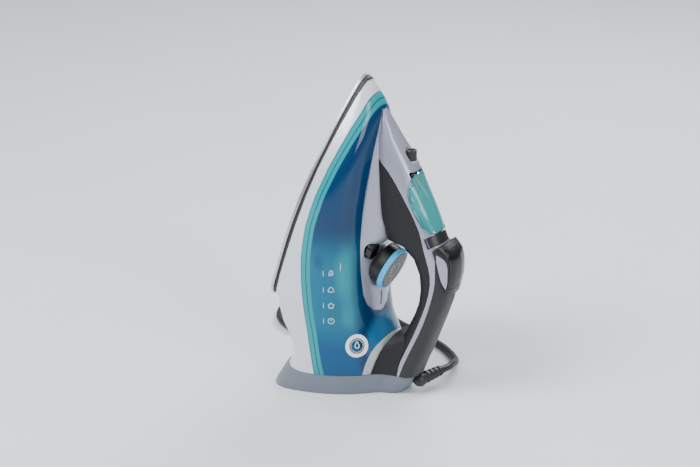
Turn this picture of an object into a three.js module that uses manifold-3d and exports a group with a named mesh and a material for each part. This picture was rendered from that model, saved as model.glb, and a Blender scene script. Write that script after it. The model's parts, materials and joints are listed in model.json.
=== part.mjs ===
// A steam iron standing on its heel: nose up along +Z, soleplate towards -X, handle towards +X.
// Millimetres. The origin is on the surface it stands on, under the middle of the heel.
import * as THREE from 'three';
import { mergeVertices } from 'three/addons/utils/BufferGeometryUtils.js';
import Module from 'manifold-3d';

const wasm = await Module();
wasm.setup();

// ---------------------------------------------------------------- driving dimensions
const HEIGHT = 304;            // standing height, heel to nose
const REACH = 176;             // soleplate heel to the back of the buttons, along X
const WIDTH = 123;             // across the skirt at its widest
const WALL = 2.2;              // moulded shells
const GAP = 0.3;               // between parts that meet
const SLIDE = 0.5;             // between parts that move past each other
const SOLE_THICK = 3;
const SHIELD_BAND = 2.9;       // dark band between soleplate and skirt
const SKIRT_FROM_SOLE = 6.5;
const CASTING_THICK = 12;
const HOLE_RADIUS = 1.4;       // steam holes
const TUB_DEPTH = 5;           // how deep the saddle cover sits in the tank
const SADDLE_LIP = 0.5;        // how far its edge stands proud
const HEEL_TOP = 20.8;
const HEEL_FLOOR = 3;
const DIAL_RADIUS = 21.3;
const DIAL_FACE_RADIUS = 18;
const DIAL_RING_DEPTH = 5;
const DIAL_BASE_DEPTH = 9;
const DIAL_TILT = THREE.MathUtils.degToRad(23);
const SHAFT_RADIUS = 2.6;
const NOZZLE_RADIUS = 4.4;
const NOZZLE_BORE = 1.1;
const NOZZLE_SUNK = 1.7;        // how deep the nozzle sits in its boss
const NOZZLE_CAP = 5.1;         // radius of its cap
const BUTTON_HALF = 14.4;      // half the width of the two buttons side by side
const STEM_RADIUS = 2;
const PUMP_RADIUS = 5.6;
const LEVER_RADIUS = 20.4;     // steam lever, out from its turning axis
const LEVER_THICK = 2.4;
const LEVER_WIDTH = 9;
const NECK_RADIUS = 6.4;       // filling neck
const PIN_RADIUS = 1.2;
const CLEAN_SIZE = 14.5;       // self-clean button, square with round corners
const CLEAN_TRAVEL = 3;
const CORD_RADIUS = 3.5;
const GUARD_LENGTH = 30;
const GUARD_BALL = 7;

// The side profile is drawn on this nominal size and follows the overall sizes.
const sx = REACH / 176;
const sz = HEIGHT / 304;
const sy = WIDTH / 123;
const at = (x, z) => new THREE.Vector2(x * sx, z * sz);
const at3 = (x, y, z) => new THREE.Vector3(x * sx, y * sy, z * sz);

const HEEL_OF_SOLE = at(-53.1, 92.3);
const NOSE_OF_SOLE = at(17.7, 303.8);
const SOLE_LENGTH = HEEL_OF_SOLE.distanceTo(NOSE_OF_SOLE);
const TILT = Math.atan2(NOSE_OF_SOLE.x - HEEL_OF_SOLE.x, NOSE_OF_SOLE.y - HEEL_OF_SOLE.y);

// ---------------------------------------------------------------- materials
const finish = (color, roughness, metalness = 0, opacity = 1) => () =>
  new THREE.MeshStandardMaterial({ color, roughness, metalness, opacity, transparent: opacity < 1 });
const pearlWhite = finish('#d9dde4', 0.35);
const tankBlue = finish('#0b6f92', 0.1, 0, 0.8);
const silverLilac = finish('#b0b3c2', 0.35, 0.4);
const charcoal = finish('#2f3033', 0.6);
const softTouch = finish('#3c3b3e', 0.75);
const glossBlack = finish('#151517', 0.15);
const heelGrey = finish('#7f8791', 0.5);
const dialBlue = finish('#6fd0f3', 0.35);
const dialGrey = finish('#75726f', 0.45);
const turquoise = finish('#5ab8b8', 0.1, 0, 0.7);
const clear = finish('#cfdde0', 0.05, 0, 0.5);
const satinMetal = finish('#c4c6c8', 0.3, 1);
const castAluminium = finish('#9a9c9e', 0.6, 1);
const steel = finish('#b8babd', 0.25, 1);
const brass = finish('#c2a14d', 0.3, 1);
const shieldGrey = finish('#4c4e54', 0.6);
const whiteNylon = finish('#e4e2da', 0.5);
const silicone = finish('#d9d4cc', 0.7);
const cordBlack = finish('#161617', 0.55);
const boardGreen = finish('#2c6b3f', 0.5);

// ---------------------------------------------------------------- geometry helpers
// A value that runs smoothly through stations [[t, a, b, ...], ...] without overshooting.
function through(stations, t, column) {
  const last = stations.length - 1;
  let i = 0;
  while (i < last - 1 && t > stations[i + 1][0]) i += 1;
  const slope = (k) => (stations[k + 1][column] - stations[k][column]) / (stations[k + 1][0] - stations[k][0]);
  const tangent = (k) => {
    if (k === 0) return slope(0);
    if (k === last) return slope(last - 1);
    const a = slope(k - 1);
    const b = slope(k);
    return a * b <= 0 ? 0 : (2 * a * b) / (a + b);
  };
  const h = stations[i + 1][0] - stations[i][0];
  const s = THREE.MathUtils.clamp((t - stations[i][0]) / h, 0, 1);
  const s2 = s * s;
  const s3 = s2 * s;
  return (2 * s3 - 3 * s2 + 1) * stations[i][column] + (s3 - 2 * s2 + s) * h * tangent(i)
    + (3 * s2 - 2 * s3) * stations[i + 1][column] + (s3 - s2) * h * tangent(i + 1);
}

// Where a loft's rings go: every station, or only every second one.
const heights = (stations, step = 1) => stations.filter((_, i) => i % step === 0).map((row) => row[0]);

// A closed body through rings of Vector3 with equal counts, capped at both ends.
function loft(rings) {
  const n = rings[0].length;
  const position = rings.flat().flatMap((p) => [p.x, p.y, p.z]);
  const index = [];
  for (let r = 0; r < rings.length - 1; r += 1) {
    for (let k = 0; k < n; k += 1) {
      const a = r * n + k;
      const b = r * n + ((k + 1) % n);
      index.push(a, b, b + n, a, b + n, a + n);
    }
  }
  for (const [ring, flip] of [[0, true], [rings.length - 1, false]]) {
    const middle = position.length / 3;
    const centre = new THREE.Vector3();
    rings[ring].forEach((p) => centre.addScaledVector(p, 1 / n));
    position.push(centre.x, centre.y, centre.z);
    for (let k = 0; k < n; k += 1) {
      const a = ring * n + k;
      const b = ring * n + ((k + 1) % n);
      index.push(...(flip ? [middle, b, a] : [middle, a, b]));
    }
  }
  const geometry = new THREE.BufferGeometry();
  geometry.setAttribute('position', new THREE.Float32BufferAttribute(position, 3));
  geometry.setIndex(index);
  return outward(geometry);
}

// Turns every triangle round if the body's volume comes out negative.
function outward(geometry) {
  const p = geometry.attributes.position;
  const index = geometry.index.array;
  const [a, b, c] = [new THREE.Vector3(), new THREE.Vector3(), new THREE.Vector3()];
  let volume = 0;
  for (let i = 0; i < index.length; i += 3) {
    a.fromBufferAttribute(p, index[i]);
    b.fromBufferAttribute(p, index[i + 1]);
    c.fromBufferAttribute(p, index[i + 2]);
    volume += a.dot(b.cross(c));
  }
  if (volume < 0) {
    for (let i = 0; i < index.length; i += 3) [index[i + 1], index[i + 2]] = [index[i + 2], index[i + 1]];
  }
  return geometry;
}

function solid(geometry) {
  const bare = geometry.clone();
  bare.deleteAttribute('normal');
  bare.deleteAttribute('uv');
  const merged = mergeVertices(bare, 1e-4);
  const mesh = new wasm.Mesh({
    numProp: 3,
    vertProperties: new Float32Array(merged.attributes.position.array),
    triVerts: new Uint32Array(merged.index.array),
  });
  mesh.merge();
  return new wasm.Manifold(mesh);
}

function geometryOf(body) {
  const mesh = body.getMesh();
  const geometry = new THREE.BufferGeometry();
  geometry.setAttribute('position', new THREE.BufferAttribute(mesh.vertProperties, 3));
  geometry.setIndex(new THREE.BufferAttribute(mesh.triVerts, 1));
  geometry.computeVertexNormals();
  return geometry;
}

const cut = (body, ...tools) => tools.reduce((left, tool) => left.subtract(tool), body);
const join = (...bodies) => bodies.reduce((all, body) => all.add(body));

// A body with the outline given in (x, z), reaching from y0 to y1.
function prism(points, y0 = -200, y1 = 200, curveSegments = 10) {
  const shape = points instanceof THREE.Shape ? points : new THREE.Shape(points);
  const geometry = new THREE.ExtrudeGeometry(shape, { depth: y1 - y0, bevelEnabled: false, curveSegments });
  geometry.rotateX(Math.PI / 2);
  geometry.translate(0, y1, 0);
  return solid(geometry);
}

const smooth = (points, count = 18) => new THREE.SplineCurve(points).getPoints(count);

// The open line of points moved sideways: to its left for a positive distance.
function beside(points, distance) {
  return points.map((p, i) => {
    const before = points[Math.max(i - 1, 0)];
    const after = points[Math.min(i + 1, points.length - 1)];
    const along = after.clone().sub(before).normalize();
    return new THREE.Vector2(p.x - along.y * distance, p.y + along.x * distance);
  });
}

// The band between two distances from a line.
const band = (points, near, far) => prism([...beside(points, near), ...beside(points, far).reverse()]);

// Cylinder, or tube if it has a bore, from one point to another.
function rod(from, to, radius, segments = 16, bore = 0, endRadius = radius) {
  const length = from.distanceTo(to);
  const profile = bore > 0
    ? [[bore, 0], [radius, 0], [endRadius, length], [bore, length], [bore, 0]]
    : [[0, 0], [radius, 0], [endRadius, length], [0, length]];
  return alongLine(turned(profile, segments), from, to);
}

function turned(profile, segments) {
  const geometry = new THREE.LatheGeometry(profile.map(([r, h]) => new THREE.Vector2(r, h)), segments);
  geometry.deleteAttribute('normal');
  geometry.deleteAttribute('uv');
  return outward(mergeVertices(geometry, 1e-4));
}

function alongLine(geometry, from, to) {
  const direction = to.clone().sub(from).normalize();
  const turn = new THREE.Quaternion().setFromUnitVectors(new THREE.Vector3(0, 1, 0), direction);
  geometry.applyQuaternion(turn);
  geometry.translate(from.x, from.y, from.z);
  return geometry;
}

function box(x0, x1, y0, y1, z0, z1) {
  const geometry = new THREE.BoxGeometry(x1 - x0, y1 - y0, z1 - z0);
  geometry.translate((x0 + x1) / 2, (y0 + y1) / 2, (z0 + z1) / 2);
  return geometry;
}

// Round wire or hose along a curve.
function tubeAlong(curve, radius, steps, sides = 8) {
  const shape = new THREE.Shape(new THREE.EllipseCurve(0, 0, radius, radius).getPoints(sides).slice(0, sides));
  return new THREE.ExtrudeGeometry(shape, { steps, extrudePath: curve, bevelEnabled: false, curveSegments: 1 });
}

class Helix extends THREE.Curve {
  constructor(radius, height, turns) {
    super();
    Object.assign(this, { radius, height, turns });
  }

  getPoint(t, target = new THREE.Vector3()) {
    const angle = 2 * Math.PI * this.turns * t;
    return target.set(this.radius * Math.cos(angle), this.height * t, this.radius * Math.sin(angle));
  }
}

function spring(from, to, radius, turns, wire = 0.5) {
  const height = from.distanceTo(to) - 2 * wire;
  const geometry = tubeAlong(new Helix(radius, height, turns), wire, turns * 8, 4);
  geometry.translate(0, wire, 0);
  return alongLine(geometry, from, to);
}

const iron = new THREE.Group();

function add(name, shape, material, parent = iron) {
  const geometry = shape instanceof THREE.BufferGeometry ? shape : geometryOf(shape);
  const mesh = new THREE.Mesh(geometry, material());
  mesh.name = name;
  parent.add(mesh);
  return mesh;
}

// ---------------------------------------------------------------- the body's outer form
// Height, left end, left corner radius, half width, ridge, squareness of the section.
const bodyStations = [
  [10, -46, 16, 57, 52, 1.8],
  [20, -41, 16, 57, 53, 1.8],
  [34, -34.2, 16, 57, 53.5, 1.95],
  [45, -34, 16, 57.2, 51, 2.1],
  [55, -37, 16, 57.8, 45.5, 2.2],
  [66, -43, 16, 58.3, 39, 2.35],
  [80, -46.5, 16, 59, 35, 2.6],
  [90, -47, 15, 59.5, 33.2, 2.75],
  [98, -48.6, 11, 60.2, 33, 2.8],
  [119, -42, 5.5, 61, 33, 2.8],
  [145, -33.3, 5, 61.5, 33, 2.8],
  [170, -25, 5, 60.8, 33.6, 2.8],
  [200, -15, 5, 57, 35, 2.8],
  [225, -6.6, 5, 49.8, 36.2, 2.8],
  [245, 0, 5, 40.3, 37.5, 2.75],
  [260, 5, 4.5, 32.5, 38.2, 2.6],
  [272, 9, 4, 25, 37.8, 2.4],
  [281, 12, 3.5, 19.3, 34.6, 2.2],
  [289, 14.8, 3, 13.4, 30, 2],
  [295, 16.8, 2.4, 8.5, 26.6, 2],
  [299.5, 18.3, 1.4, 3.6, 23.4, 2],
];

function bodyShape(height, inset) {
  const h = height / sz;
  const left = through(bodyStations, h, 1) * sx + inset;
  const corner = through(bodyStations, h, 2);
  const half = through(bodyStations, h, 3) * sy - inset;
  const ridge = through(bodyStations, h, 4) * sx - inset;
  return { left, corner, half, ridge, power: through(bodyStations, h, 5), widest: left + corner };
}

// How far out the surface is at a height and a distance from the middle.
function surfaceX(height, y) {
  const s = bodyShape(height, 0);
  const share = Math.min(Math.abs(y) / s.half, 1);
  return s.widest + (s.ridge - s.widest) * (1 - share ** s.power) ** (1 / s.power);
}

function ringFrom(halfRing, z) {
  const other = halfRing.slice(1, -1).reverse().map(([x, y]) => [x, -y]);
  return [...halfRing, ...other].map(([x, y]) => new THREE.Vector3(x, y, z));
}

function bodyRing(height, inset, sides) {
  const s = bodyShape(height, inset);
  const halfRing = [];
  for (let k = 0; k <= sides; k += 1) {
    const a = (Math.PI / 2) * (k / sides);
    const x = s.widest + (s.ridge - s.widest) * Math.cos(a) ** (2 / s.power);
    halfRing.push([x, s.half * Math.sin(a) ** (2 / s.power)]);
  }
  const corner = Math.min(s.corner, s.half * 0.8);
  for (let k = 1; k <= 3; k += 1) {
    const a = (Math.PI / 2) * (k / 3);
    halfRing.push([s.widest - s.corner * Math.sin(a), s.half - corner * (1 - Math.cos(a))]);
  }
  halfRing.push([s.left, 0]);
  return ringFrom(halfRing, height);
}

function bodyForm(inset, from, to, step, sides) {
  const levels = heights(bodyStations, step).map((h) => h * sz).filter((h) => h > from && h < to);
  return solid(loft([from, ...levels, to].map((h) => bodyRing(h, inset, sides))));
}

const BODY_LOW = 10 * sz;
const BODY_HIGH = 299.5 * sz;
const bodyOuter = bodyForm(0, BODY_LOW, BODY_HIGH, 1, 12);
const bodyInner = bodyForm(WALL, BODY_LOW - 1, BODY_HIGH - 4, 2, 7);
const bodyClear = bodyForm(-GAP, BODY_LOW - 1, BODY_HIGH + GAP, 1, 12);

// ---------------------------------------------------------------- the saddle's form, on top of the body
// Height, half width, ridge.
const saddleStations = [
  [76.5, 3, 34.8],
  [80, 12.5, 35.6],
  [88, 20.5, 36.4],
  [99, 25, 36.3],
  [119, 28, 36.2],
  [136, 29.4, 36.9],
  [144, 29.8, 39.5],
  [150, 30, 46],
  [156, 29.8, 51],
  [166, 29.2, 52],
  [182, 28, 49],
  [201, 25.5, 48],
  [222, 20.5, 46.5],
  [236, 17.2, 45],
  [250, 13, 42],
  [262, 8.5, 40],
  [272.5, 2.5, 38.6],
];

function saddleRing(height, inset, depth, reach = 0) {
  const h = height / sz;
  const half = through(saddleStations, h, 1) * sy - inset;
  const edge = surfaceX(height, half) + SADDLE_LIP - inset;
  const top = Math.max(through(saddleStations, h, 2) * sx, edge + 0.2) - inset + reach;
  const low = surfaceX(height, half) - depth;
  const halfRing = [];
  for (let k = 0; k <= 6; k += 1) {
    const share = Math.sin((Math.PI / 2) * (k / 6));
    halfRing.push([top - (top - edge - reach) * share ** 2.2, half * share]);
  }
  halfRing.push([low, half], [low, 0]);
  return ringFrom(halfRing, height);
}

function saddleForm(inset, depth, reach = 0, step = 1) {
  const first = saddleStations[0][0] * sz + inset * 1.2;
  const last = saddleStations[saddleStations.length - 1][0] * sz - inset * 1.2;
  const levels = heights(saddleStations, step).map((h) => h * sz).filter((h) => h > first + 1 && h < last - 1);
  return solid(loft([first, ...levels, last].map((h) => saddleRing(h, inset, depth, reach))));
}

const saddleOuter = saddleForm(0, TUB_DEPTH);
const saddleClear = saddleForm(-GAP, TUB_DEPTH + GAP);
const saddleSpace = saddleForm(-GAP, TUB_DEPTH + GAP, 40);
const saddleTub = saddleForm(-GAP - WALL, TUB_DEPTH + GAP + WALL, 40, 2);

// ---------------------------------------------------------------- the handle's form
// Inner point (x, z), outer point (x, z), half width: sections across the handle from nose to foot.
const handleStations = [
  [0, 37.5, 270.5, 39.4, 274.2, 2.5],
  [1, 35.5, 262, 45, 264.5, 7.5],
  [2, 33.5, 247, 54.3, 249, 12.5],
  [3, 33, 226, 67.6, 230.5, 16.6],
  [4, 34, 203, 79, 209, 18.8],
  [5, 37, 172, 90, 187.5, 19.4],
  [6, 46, 152, 98.6, 167.6, 19.4],
  [7, 61, 149.7, 105.8, 152.5, 18.8],
  [8, 73.3, 138.6, 111, 141.5, 18.3],
  [9, 79.6, 124.5, 113, 129.5, 18.1],
  [10, 81.2, 110.5, 112.3, 114.5, 18],
  [11, 80, 97.5, 108.6, 98.5, 18],
  [12, 75.6, 84, 103.6, 83.5, 18],
  [13, 69.2, 70, 97.4, 66.5, 18],
  [14, 63.2, 56, 90.6, 48, 18],
  [15, 57.2, 40, 84.4, 33.5, 18],
  [16, 51.5, 23, 79, 19, 18],
  [17, 49, 14, 76.5, 10, 18],
];
const HANDLE_POWER = 2.6;

function handleRing(station, inset, sides, stations = handleStations, half = 0) {
  const [ix, iz, ox, oz, width] = [1, 2, 3, 4, 5].map((column) => through(stations, station, column));
  const inner = at(ix, iz);
  const outer = at(ox, oz);
  const middle = inner.clone().add(outer).multiplyScalar(0.5);
  const reach = outer.clone().sub(middle);
  const deep = Math.max(reach.length() - inset, 0.4);
  const wide = Math.max(width * sy + half - inset, 0.5);
  reach.normalize();
  const ring = [];
  for (let k = 0; k < sides; k += 1) {
    const a = (2 * Math.PI * k) / sides;
    const c = Math.sign(Math.cos(a)) * Math.abs(Math.cos(a)) ** (2 / HANDLE_POWER);
    const s = Math.sign(Math.sin(a)) * Math.abs(Math.sin(a)) ** (2 / HANDLE_POWER);
    ring.push(new THREE.Vector3(middle.x + reach.x * deep * c, wide * s, middle.y + reach.y * deep * c));
  }
  return ring;
}

function handleForm(inset, sides) {
  return solid(loft(heights(handleStations).map((s) => handleRing(s, inset, sides))));
}

const handleOuter = handleForm(0, 20);
const handleInner = handleForm(WALL, 10);
const handleClear = handleForm(-GAP, 20);

// The hood over the two buttons stands a little proud of the handle.
const hoodStations = [
  [0, 84, 161, 102.5, 162.5, 18.8],
  [1, 84, 156, 109, 157.2, 18.8],
  [2, 84, 150, 115.8, 151, 18.8],
  [3, 84, 141, 118.3, 142, 18.7],
  [4, 84, 130, 118.5, 130, 18.6],
  [5, 84, 120, 116.6, 119.5, 18.4],
  [6, 84, 111, 113.8, 110.5, 18.2],
  [7, 84, 104, 111.5, 103.5, 18],
];
const hoodForm = (inset, sides) =>
  solid(loft(heights(hoodStations).map((s) => handleRing(s, inset, sides, hoodStations))));
const hoodOuter = hoodForm(0, 20);
const hoodInner = hoodForm(WALL, 10);

// ---------------------------------------------------------------- seams, drawn from the side
const skirtSeam = smooth([at(36, 296), at(30.5, 288.5), at(26, 273), at(16.6, 249), at(7.5, 225), at(-3.5, 194),
  at(-10, 170), at(-13.6, 148), at(-15.3, 126), at(-15, 104), at(-13, 80), at(-9, 52), at(-4, 8)]);
const footSeam = smooth([at(37, 5), at(40.5, 22), at(45, 37), at(49, 48), at(55, 58), at(64, 68)], 14);
const gripSeam = smooth([at(34, 236), at(39.5, 231), at(53.8, 218), at(65.3, 202), at(75.7, 184.6), at(83.6, 169),
  at(88.6, 153), at(92.3, 141), at(95.4, 130), at(95.6, 116), at(91.5, 98), at(85.6, 81), at(78, 62),
  at(68.4, 41), at(59.5, 18), at(56, 8)], 24);
const backSeam = smooth([at(98, 152.5), at(100.2, 146), at(100.6, 136), at(100.8, 124), at(99, 111), at(94, 92),
  at(87.4, 73), at(79, 54), at(71, 36), at(64.5, 18), at(61, 8)], 16);
const heelSeam = smooth([at(-80, 33), at(-45, 26.5), at(-28, 22.5), at(-8, 21), at(40, 20.8), at(110, 18)], 12);
const hoodOutline = [at(97.8, 152.6), at(106, 158.6), at(130, 172), at(130, 100), at(116, 105.5), at(112, 112),
  at(108, 121.5), at(104, 133), at(101, 144)];

const farLeft = (seam) => prism([...beside(seam, -GAP / 2), at(-150, 0), at(-150, 320)]);
const aboveHeel = prism([...beside(heelSeam, GAP / 2), at(130, 330), at(-80, 330)]);
const belowHeel = prism([...beside(heelSeam, -GAP / 2), at(110, -20), at(-80, -20)]);

// ---------------------------------------------------------------- the sole's frame
// A group standing on the soleplate: local X up from the sole, local Z towards the nose.
const sole = new THREE.Group();
sole.position.set(HEEL_OF_SOLE.x, 0, HEEL_OF_SOLE.y);
sole.rotation.y = TILT;
iron.add(sole);
sole.updateMatrixWorld();
const inSole = (body) => solid(body instanceof THREE.BufferGeometry ? body : geometryOf(body));
const toSole = (v) => v.clone().applyMatrix4(sole.matrixWorld.clone().invert());
const placed = (geometry) => solid(geometry.clone().applyMatrix4(sole.matrixWorld));

// Half width of the soleplate at a distance from its nose.
const SOLE_HALF = WIDTH / 2 + 0.3;
const ROUND_REAR = 15;
function soleHalf(fromNose) {
  const share = Math.min(fromNose / (0.695 * SOLE_LENGTH), 1);
  const blunt = 2.6 * Math.sqrt(Math.min(fromNose, 6)) * (1 - Math.min(fromNose, 60) / 60);
  const rear = Math.max(ROUND_REAR - (SOLE_LENGTH - fromNose), 0);
  const taper = 3.4 * Math.max((fromNose - 0.7 * SOLE_LENGTH) / (0.3 * SOLE_LENGTH), 0) ** 1.5;
  const round = ROUND_REAR - Math.sqrt(ROUND_REAR ** 2 - rear ** 2);
  return SOLE_HALF * (1 - (1 - share) ** 2) + blunt - taper - round;
}

// Outline of the sole, moved in by an inset, as an (y, z) shape drawn in the sole's frame.
function soleOutline(inset, count = 26) {
  const side = [];
  for (let k = 0; k <= count; k += 1) {
    const turn = (1 - Math.cos((Math.PI * k) / count)) / 2;
    const from = inset + 0.01 + (SOLE_LENGTH - 2 * inset - 0.02) * turn;
    side.push([Math.max(soleHalf(from) - inset, 0.4), SOLE_LENGTH - from]);
  }
  return [...side, ...side.reverse().map(([y, z]) => [-y, z])].map(([y, z]) => new THREE.Vector2(y, z));
}

// The outline as a plate between two distances from the sole's face, in the sole's frame.
function solePlate(outline, low, high, bevel = 0) {
  const geometry = new THREE.ExtrudeGeometry(new THREE.Shape(outline), {
    depth: high - low - 2 * bevel, bevelEnabled: bevel > 0, bevelThickness: bevel, bevelSize: bevel,
    bevelOffset: -bevel, bevelSegments: 2, curveSegments: 1,
  });
  geometry.applyMatrix4(new THREE.Matrix4().set(0, 0, 1, low + bevel, 1, 0, 0, 0, 0, 1, 0, 0, 0, 0, 0, 1));
  return geometry;
}

const NOSE_SPACE = 50;               // the heater stops this far behind the nose
const upTo = (back) => inSole(box(-200, 200, -200, 200, -100, SOLE_LENGTH - back));

function inward(x, y, z, length, radius, segments = 16) {
  const from = new THREE.Vector3(x, y, z);
  return rod(from, new THREE.Vector3(x + length, y, z), radius, segments);
}

// Distances up from the sole's face, in the sole's frame.
const CASTING_LOW = SOLE_THICK + GAP;
const CASTING_HIGH = CASTING_LOW + CASTING_THICK;
const COVER_HIGH = CASTING_HIGH + GAP + 1.2;
const SHIELD_TOP = COVER_HIGH + 5;
const TANK_FLOOR = SHIELD_TOP + WALL + 1.2;
const THERMOSTAT_RADIUS = 10;
const THERMOSTAT_TOP = CASTING_HIGH + 8;
const VALVE_SIDE = -6.5;
const VALVE_AT = 105 * sz;           // up the sole, under the needle

// ---------------------------------------------------------------- soleplate and heater
function soleplate() {
  const plate = inSole(solePlate(soleOutline(0), 0, SOLE_THICK, 0.8));
  const holes = [];
  for (const side of [-1, 1]) {
    for (let k = 0; k < 7; k += 1) {
      const from = (0.2 + 0.085 * k) * SOLE_LENGTH;
      holes.push([side * (soleHalf(from) - 13), SOLE_LENGTH - from]);
    }
  }
  for (let k = 0; k < 3; k += 1) holes.push([0, SOLE_LENGTH * (0.86 - 0.05 * k)]);
  const cutters = holes.map(([y, z]) => inSole(inward(-2, y, z, SOLE_THICK + 4, HOLE_RADIUS, 6)));
  return cut(plate, ...cutters);
}

class Bow extends THREE.Curve {
  // The heating element: up one side of the sole, round the nose and down the other.
  getPoint(t, target = new THREE.Vector3()) {
    const side = 1 - 2 * t;
    const along = 1 - side * side;
    const nose = SOLE_LENGTH - NOSE_SPACE - 14;
    const low = 5.5;
    const z = low + (nose - low) * Math.sqrt(along);
    const wide = 31 * sy * Math.sign(side) * Math.abs(side) ** 0.6;
    return target.set(CASTING_LOW + 6, wide, z);
  }
}
const ELEMENT_RADIUS = 3;

function heaterCasting() {
  const body = inSole(solePlate(soleOutline(9, 18), CASTING_LOW, CASTING_HIGH));
  const channel = inSole(tubeAlong(new Bow(), ELEMENT_RADIUS + GAP, 18, 6));
  const groove = inSole(tubeAlong(new Bow(), ELEMENT_RADIUS * 0.55, 18, 4).translate(ELEMENT_RADIUS, 0, 0));
  const pocket = inSole(solePlate(soleOutline(40, 14), CASTING_HIGH - 4, CASTING_HIGH + 2));
  return cut(body, channel, pocket, groove).intersect(upTo(NOSE_SPACE));
}

function steamCover() {
  const plate = inSole(solePlate(soleOutline(36, 14), CASTING_HIGH + GAP, COVER_HIGH));
  const valve = inSole(inward(0, VALVE_SIDE, VALVE_AT, 60, 4, 12));
  const thermostat = inSole(inward(0, 0, THERMOSTAT_AT, 60, THERMOSTAT_RADIUS + SLIDE));
  return cut(plate, valve, thermostat).intersect(upTo(NOSE_SPACE));
}

function heatShield() {
  const foot = inSole(solePlate(soleOutline(1.4), CASTING_LOW, CASTING_LOW + SHIELD_BAND));
  const tub = inSole(solePlate(soleOutline(6.4, 18), CASTING_LOW, SHIELD_TOP));
  const hollow = inSole(solePlate(soleOutline(8.4, 18), CASTING_LOW - 1, SHIELD_TOP - 2));
  const passages = [
    inward(CASTING_HIGH, 0, THERMOSTAT_AT, 30, THERMOSTAT_RADIUS + 2 * SLIDE),
    inward(CASTING_HIGH, VALVE_SIDE, VALVE_AT, 30, 5),
    box(CASTING_LOW - 1, CASTING_LOW + 10, -36 * sy, 36 * sy, -20, 12),
  ].map(inSole);
  const ends = tub.intersect(upTo(NOSE_SPACE - 4));
  const inside = hollow.intersect(upTo(NOSE_SPACE - 2));
  return cut(join(foot, ends), inside, ...passages);
}

// ---------------------------------------------------------------- where the controls stand
// The dial's group: local X out along its axis, origin in the middle of its face.
const dial = new THREE.Group();
const dialFace = at3(49.6, 0, 119);
dial.position.copy(dialFace);
dial.rotation.y = DIAL_TILT;
iron.add(dial);
dial.updateMatrixWorld();
const dialAxis = new THREE.Vector3(Math.cos(DIAL_TILT), 0, -Math.sin(DIAL_TILT));
const onDialAxis = (down) => dialFace.clone().addScaledVector(dialAxis, -down);
const faceInSole = toSole(dialFace);
const slant = DIAL_TILT - TILT;
const SHAFT_REACH = (faceInSole.x - THERMOSTAT_TOP - SLIDE) / Math.cos(slant);
const THERMOSTAT_AT = faceInSole.z + SHAFT_REACH * Math.sin(slant);

// The filling door's group: local X out of the cover, local Z up its ridge.
const DOOR_TILT = -0.447;
const door = new THREE.Group();
door.position.copy(at3(87, 0, 193.5));
door.rotation.y = DOOR_TILT;
iron.add(door);
door.updateMatrixWorld();
const inDoor = (geometry) => solid(geometry.clone().applyMatrix4(door.matrixWorld));
const HINGE_UP = 27;
const HINGE_DOWN = 5;
const HINGE_ROOM = 5.1;             // what the door's upper edge sweeps round its pin
const HINGE_HALF = 12;              // half the width of that room
const LUG_RADIUS = 2.4;
const NECK_SIDE = 5;
const NECK_FROM = 15;
const NECK_TO = 70;

// The steam lever's group: local Z up the ridge, turning axis through the origin.
const lever = new THREE.Group();
lever.position.copy(at3(83.6, 0, 154.7));
lever.rotation.y = -0.445;
iron.add(lever);
lever.updateMatrixWorld();
const inLever = (geometry) => solid(geometry.clone().applyMatrix4(lever.matrixWorld));

const nozzleBoss = at3(65.8, 0, 216);
const nozzleFoot = at3(65.8, 0, 229.4);
const nozzleTop = nozzleFoot.clone().add(new THREE.Vector3(0, 0, 9.6));
const cleanAt = toSole(at3(37, -19, 142));
const CLEAN_TOP = cleanAt.x + 2.4;
const CLEAN_LOW = CLEAN_TOP - 6;
const buttonHeight = 138 * sz;
const PUMP_FRONT = 101 * sx;
const PUMP_LENGTH = 13;
const pumpSide = 7.5;
const guardAt = at3(78.5, 0, 13);
const guardAxis = new THREE.Vector3(Math.cos(1.3), Math.sin(1.3), 0);

// ---------------------------------------------------------------- soleplate and heater parts
add('soleplate', soleplate(), satinMetal, sole);
add('heater_casting', heaterCasting(), castAluminium, sole);
add('heating_element', tubeAlong(new Bow(), ELEMENT_RADIUS, 18, 6), steel, sole);
add('steam_chamber_cover', steamCover(), castAluminium, sole);
add('heat_shield', heatShield(), shieldGrey, sole);
add('thermostat', inward(CASTING_HIGH + GAP, 0, THERMOSTAT_AT, THERMOSTAT_TOP - CASTING_HIGH - GAP,
  THERMOSTAT_RADIUS, 20), brass, sole);
add('thermal_fuse', rod(new THREE.Vector3(CASTING_HIGH + 2.4, 17, 14),
  new THREE.Vector3(CASTING_HIGH + 2.4, 17, 31), 2, 10), whiteNylon, sole);

// ---------------------------------------------------------------- hoses and rods inside
const hosePath = (...points) => new THREE.CatmullRomCurve3(points.map((p) => at3(...p)));
const steamHosePath = hosePath([86, 8, 138.5], [80, 11.5, 148], [66, 13.2, 158], [48, 13.4, 164], [30, 13.2, 163],
  [8, 12, 158], [-6, 11, 154]);
const sprayHosePath = hosePath([86, -8, 138.5], [81, -12, 150], [75, -13, 164], [66, -13.2, 188],
  [58, -12.4, 207], [58, -7, 218], [63, -1.4, 223], [65.6, 0, 226.2]);
const HOSE_RADIUS = 1.7;
const hoseRoom = solid(tubeAlong(steamHosePath, HOSE_RADIUS + 0.7, 14, 6));
const neckLine = [new THREE.Vector3(-NECK_FROM - GAP, NECK_SIDE, 0), new THREE.Vector3(-NECK_TO, NECK_SIDE, 0)];
const neckRoom = inDoor(rod(...neckLine, NECK_RADIUS + GAP, 18));
const NEEDLE_RADIUS = 1.6;
const needleRoom = placed(inward(SHIELD_TOP, VALVE_SIDE, VALVE_AT, 90, NEEDLE_RADIUS + SLIDE, 10));
const TUBE_RADIUS = SHAFT_RADIUS + SLIDE + 1.4;
const tubeRoom = solid(rod(onDialAxis(SHAFT_REACH), onDialAxis(18), TUBE_RADIUS + GAP, 14));
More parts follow.
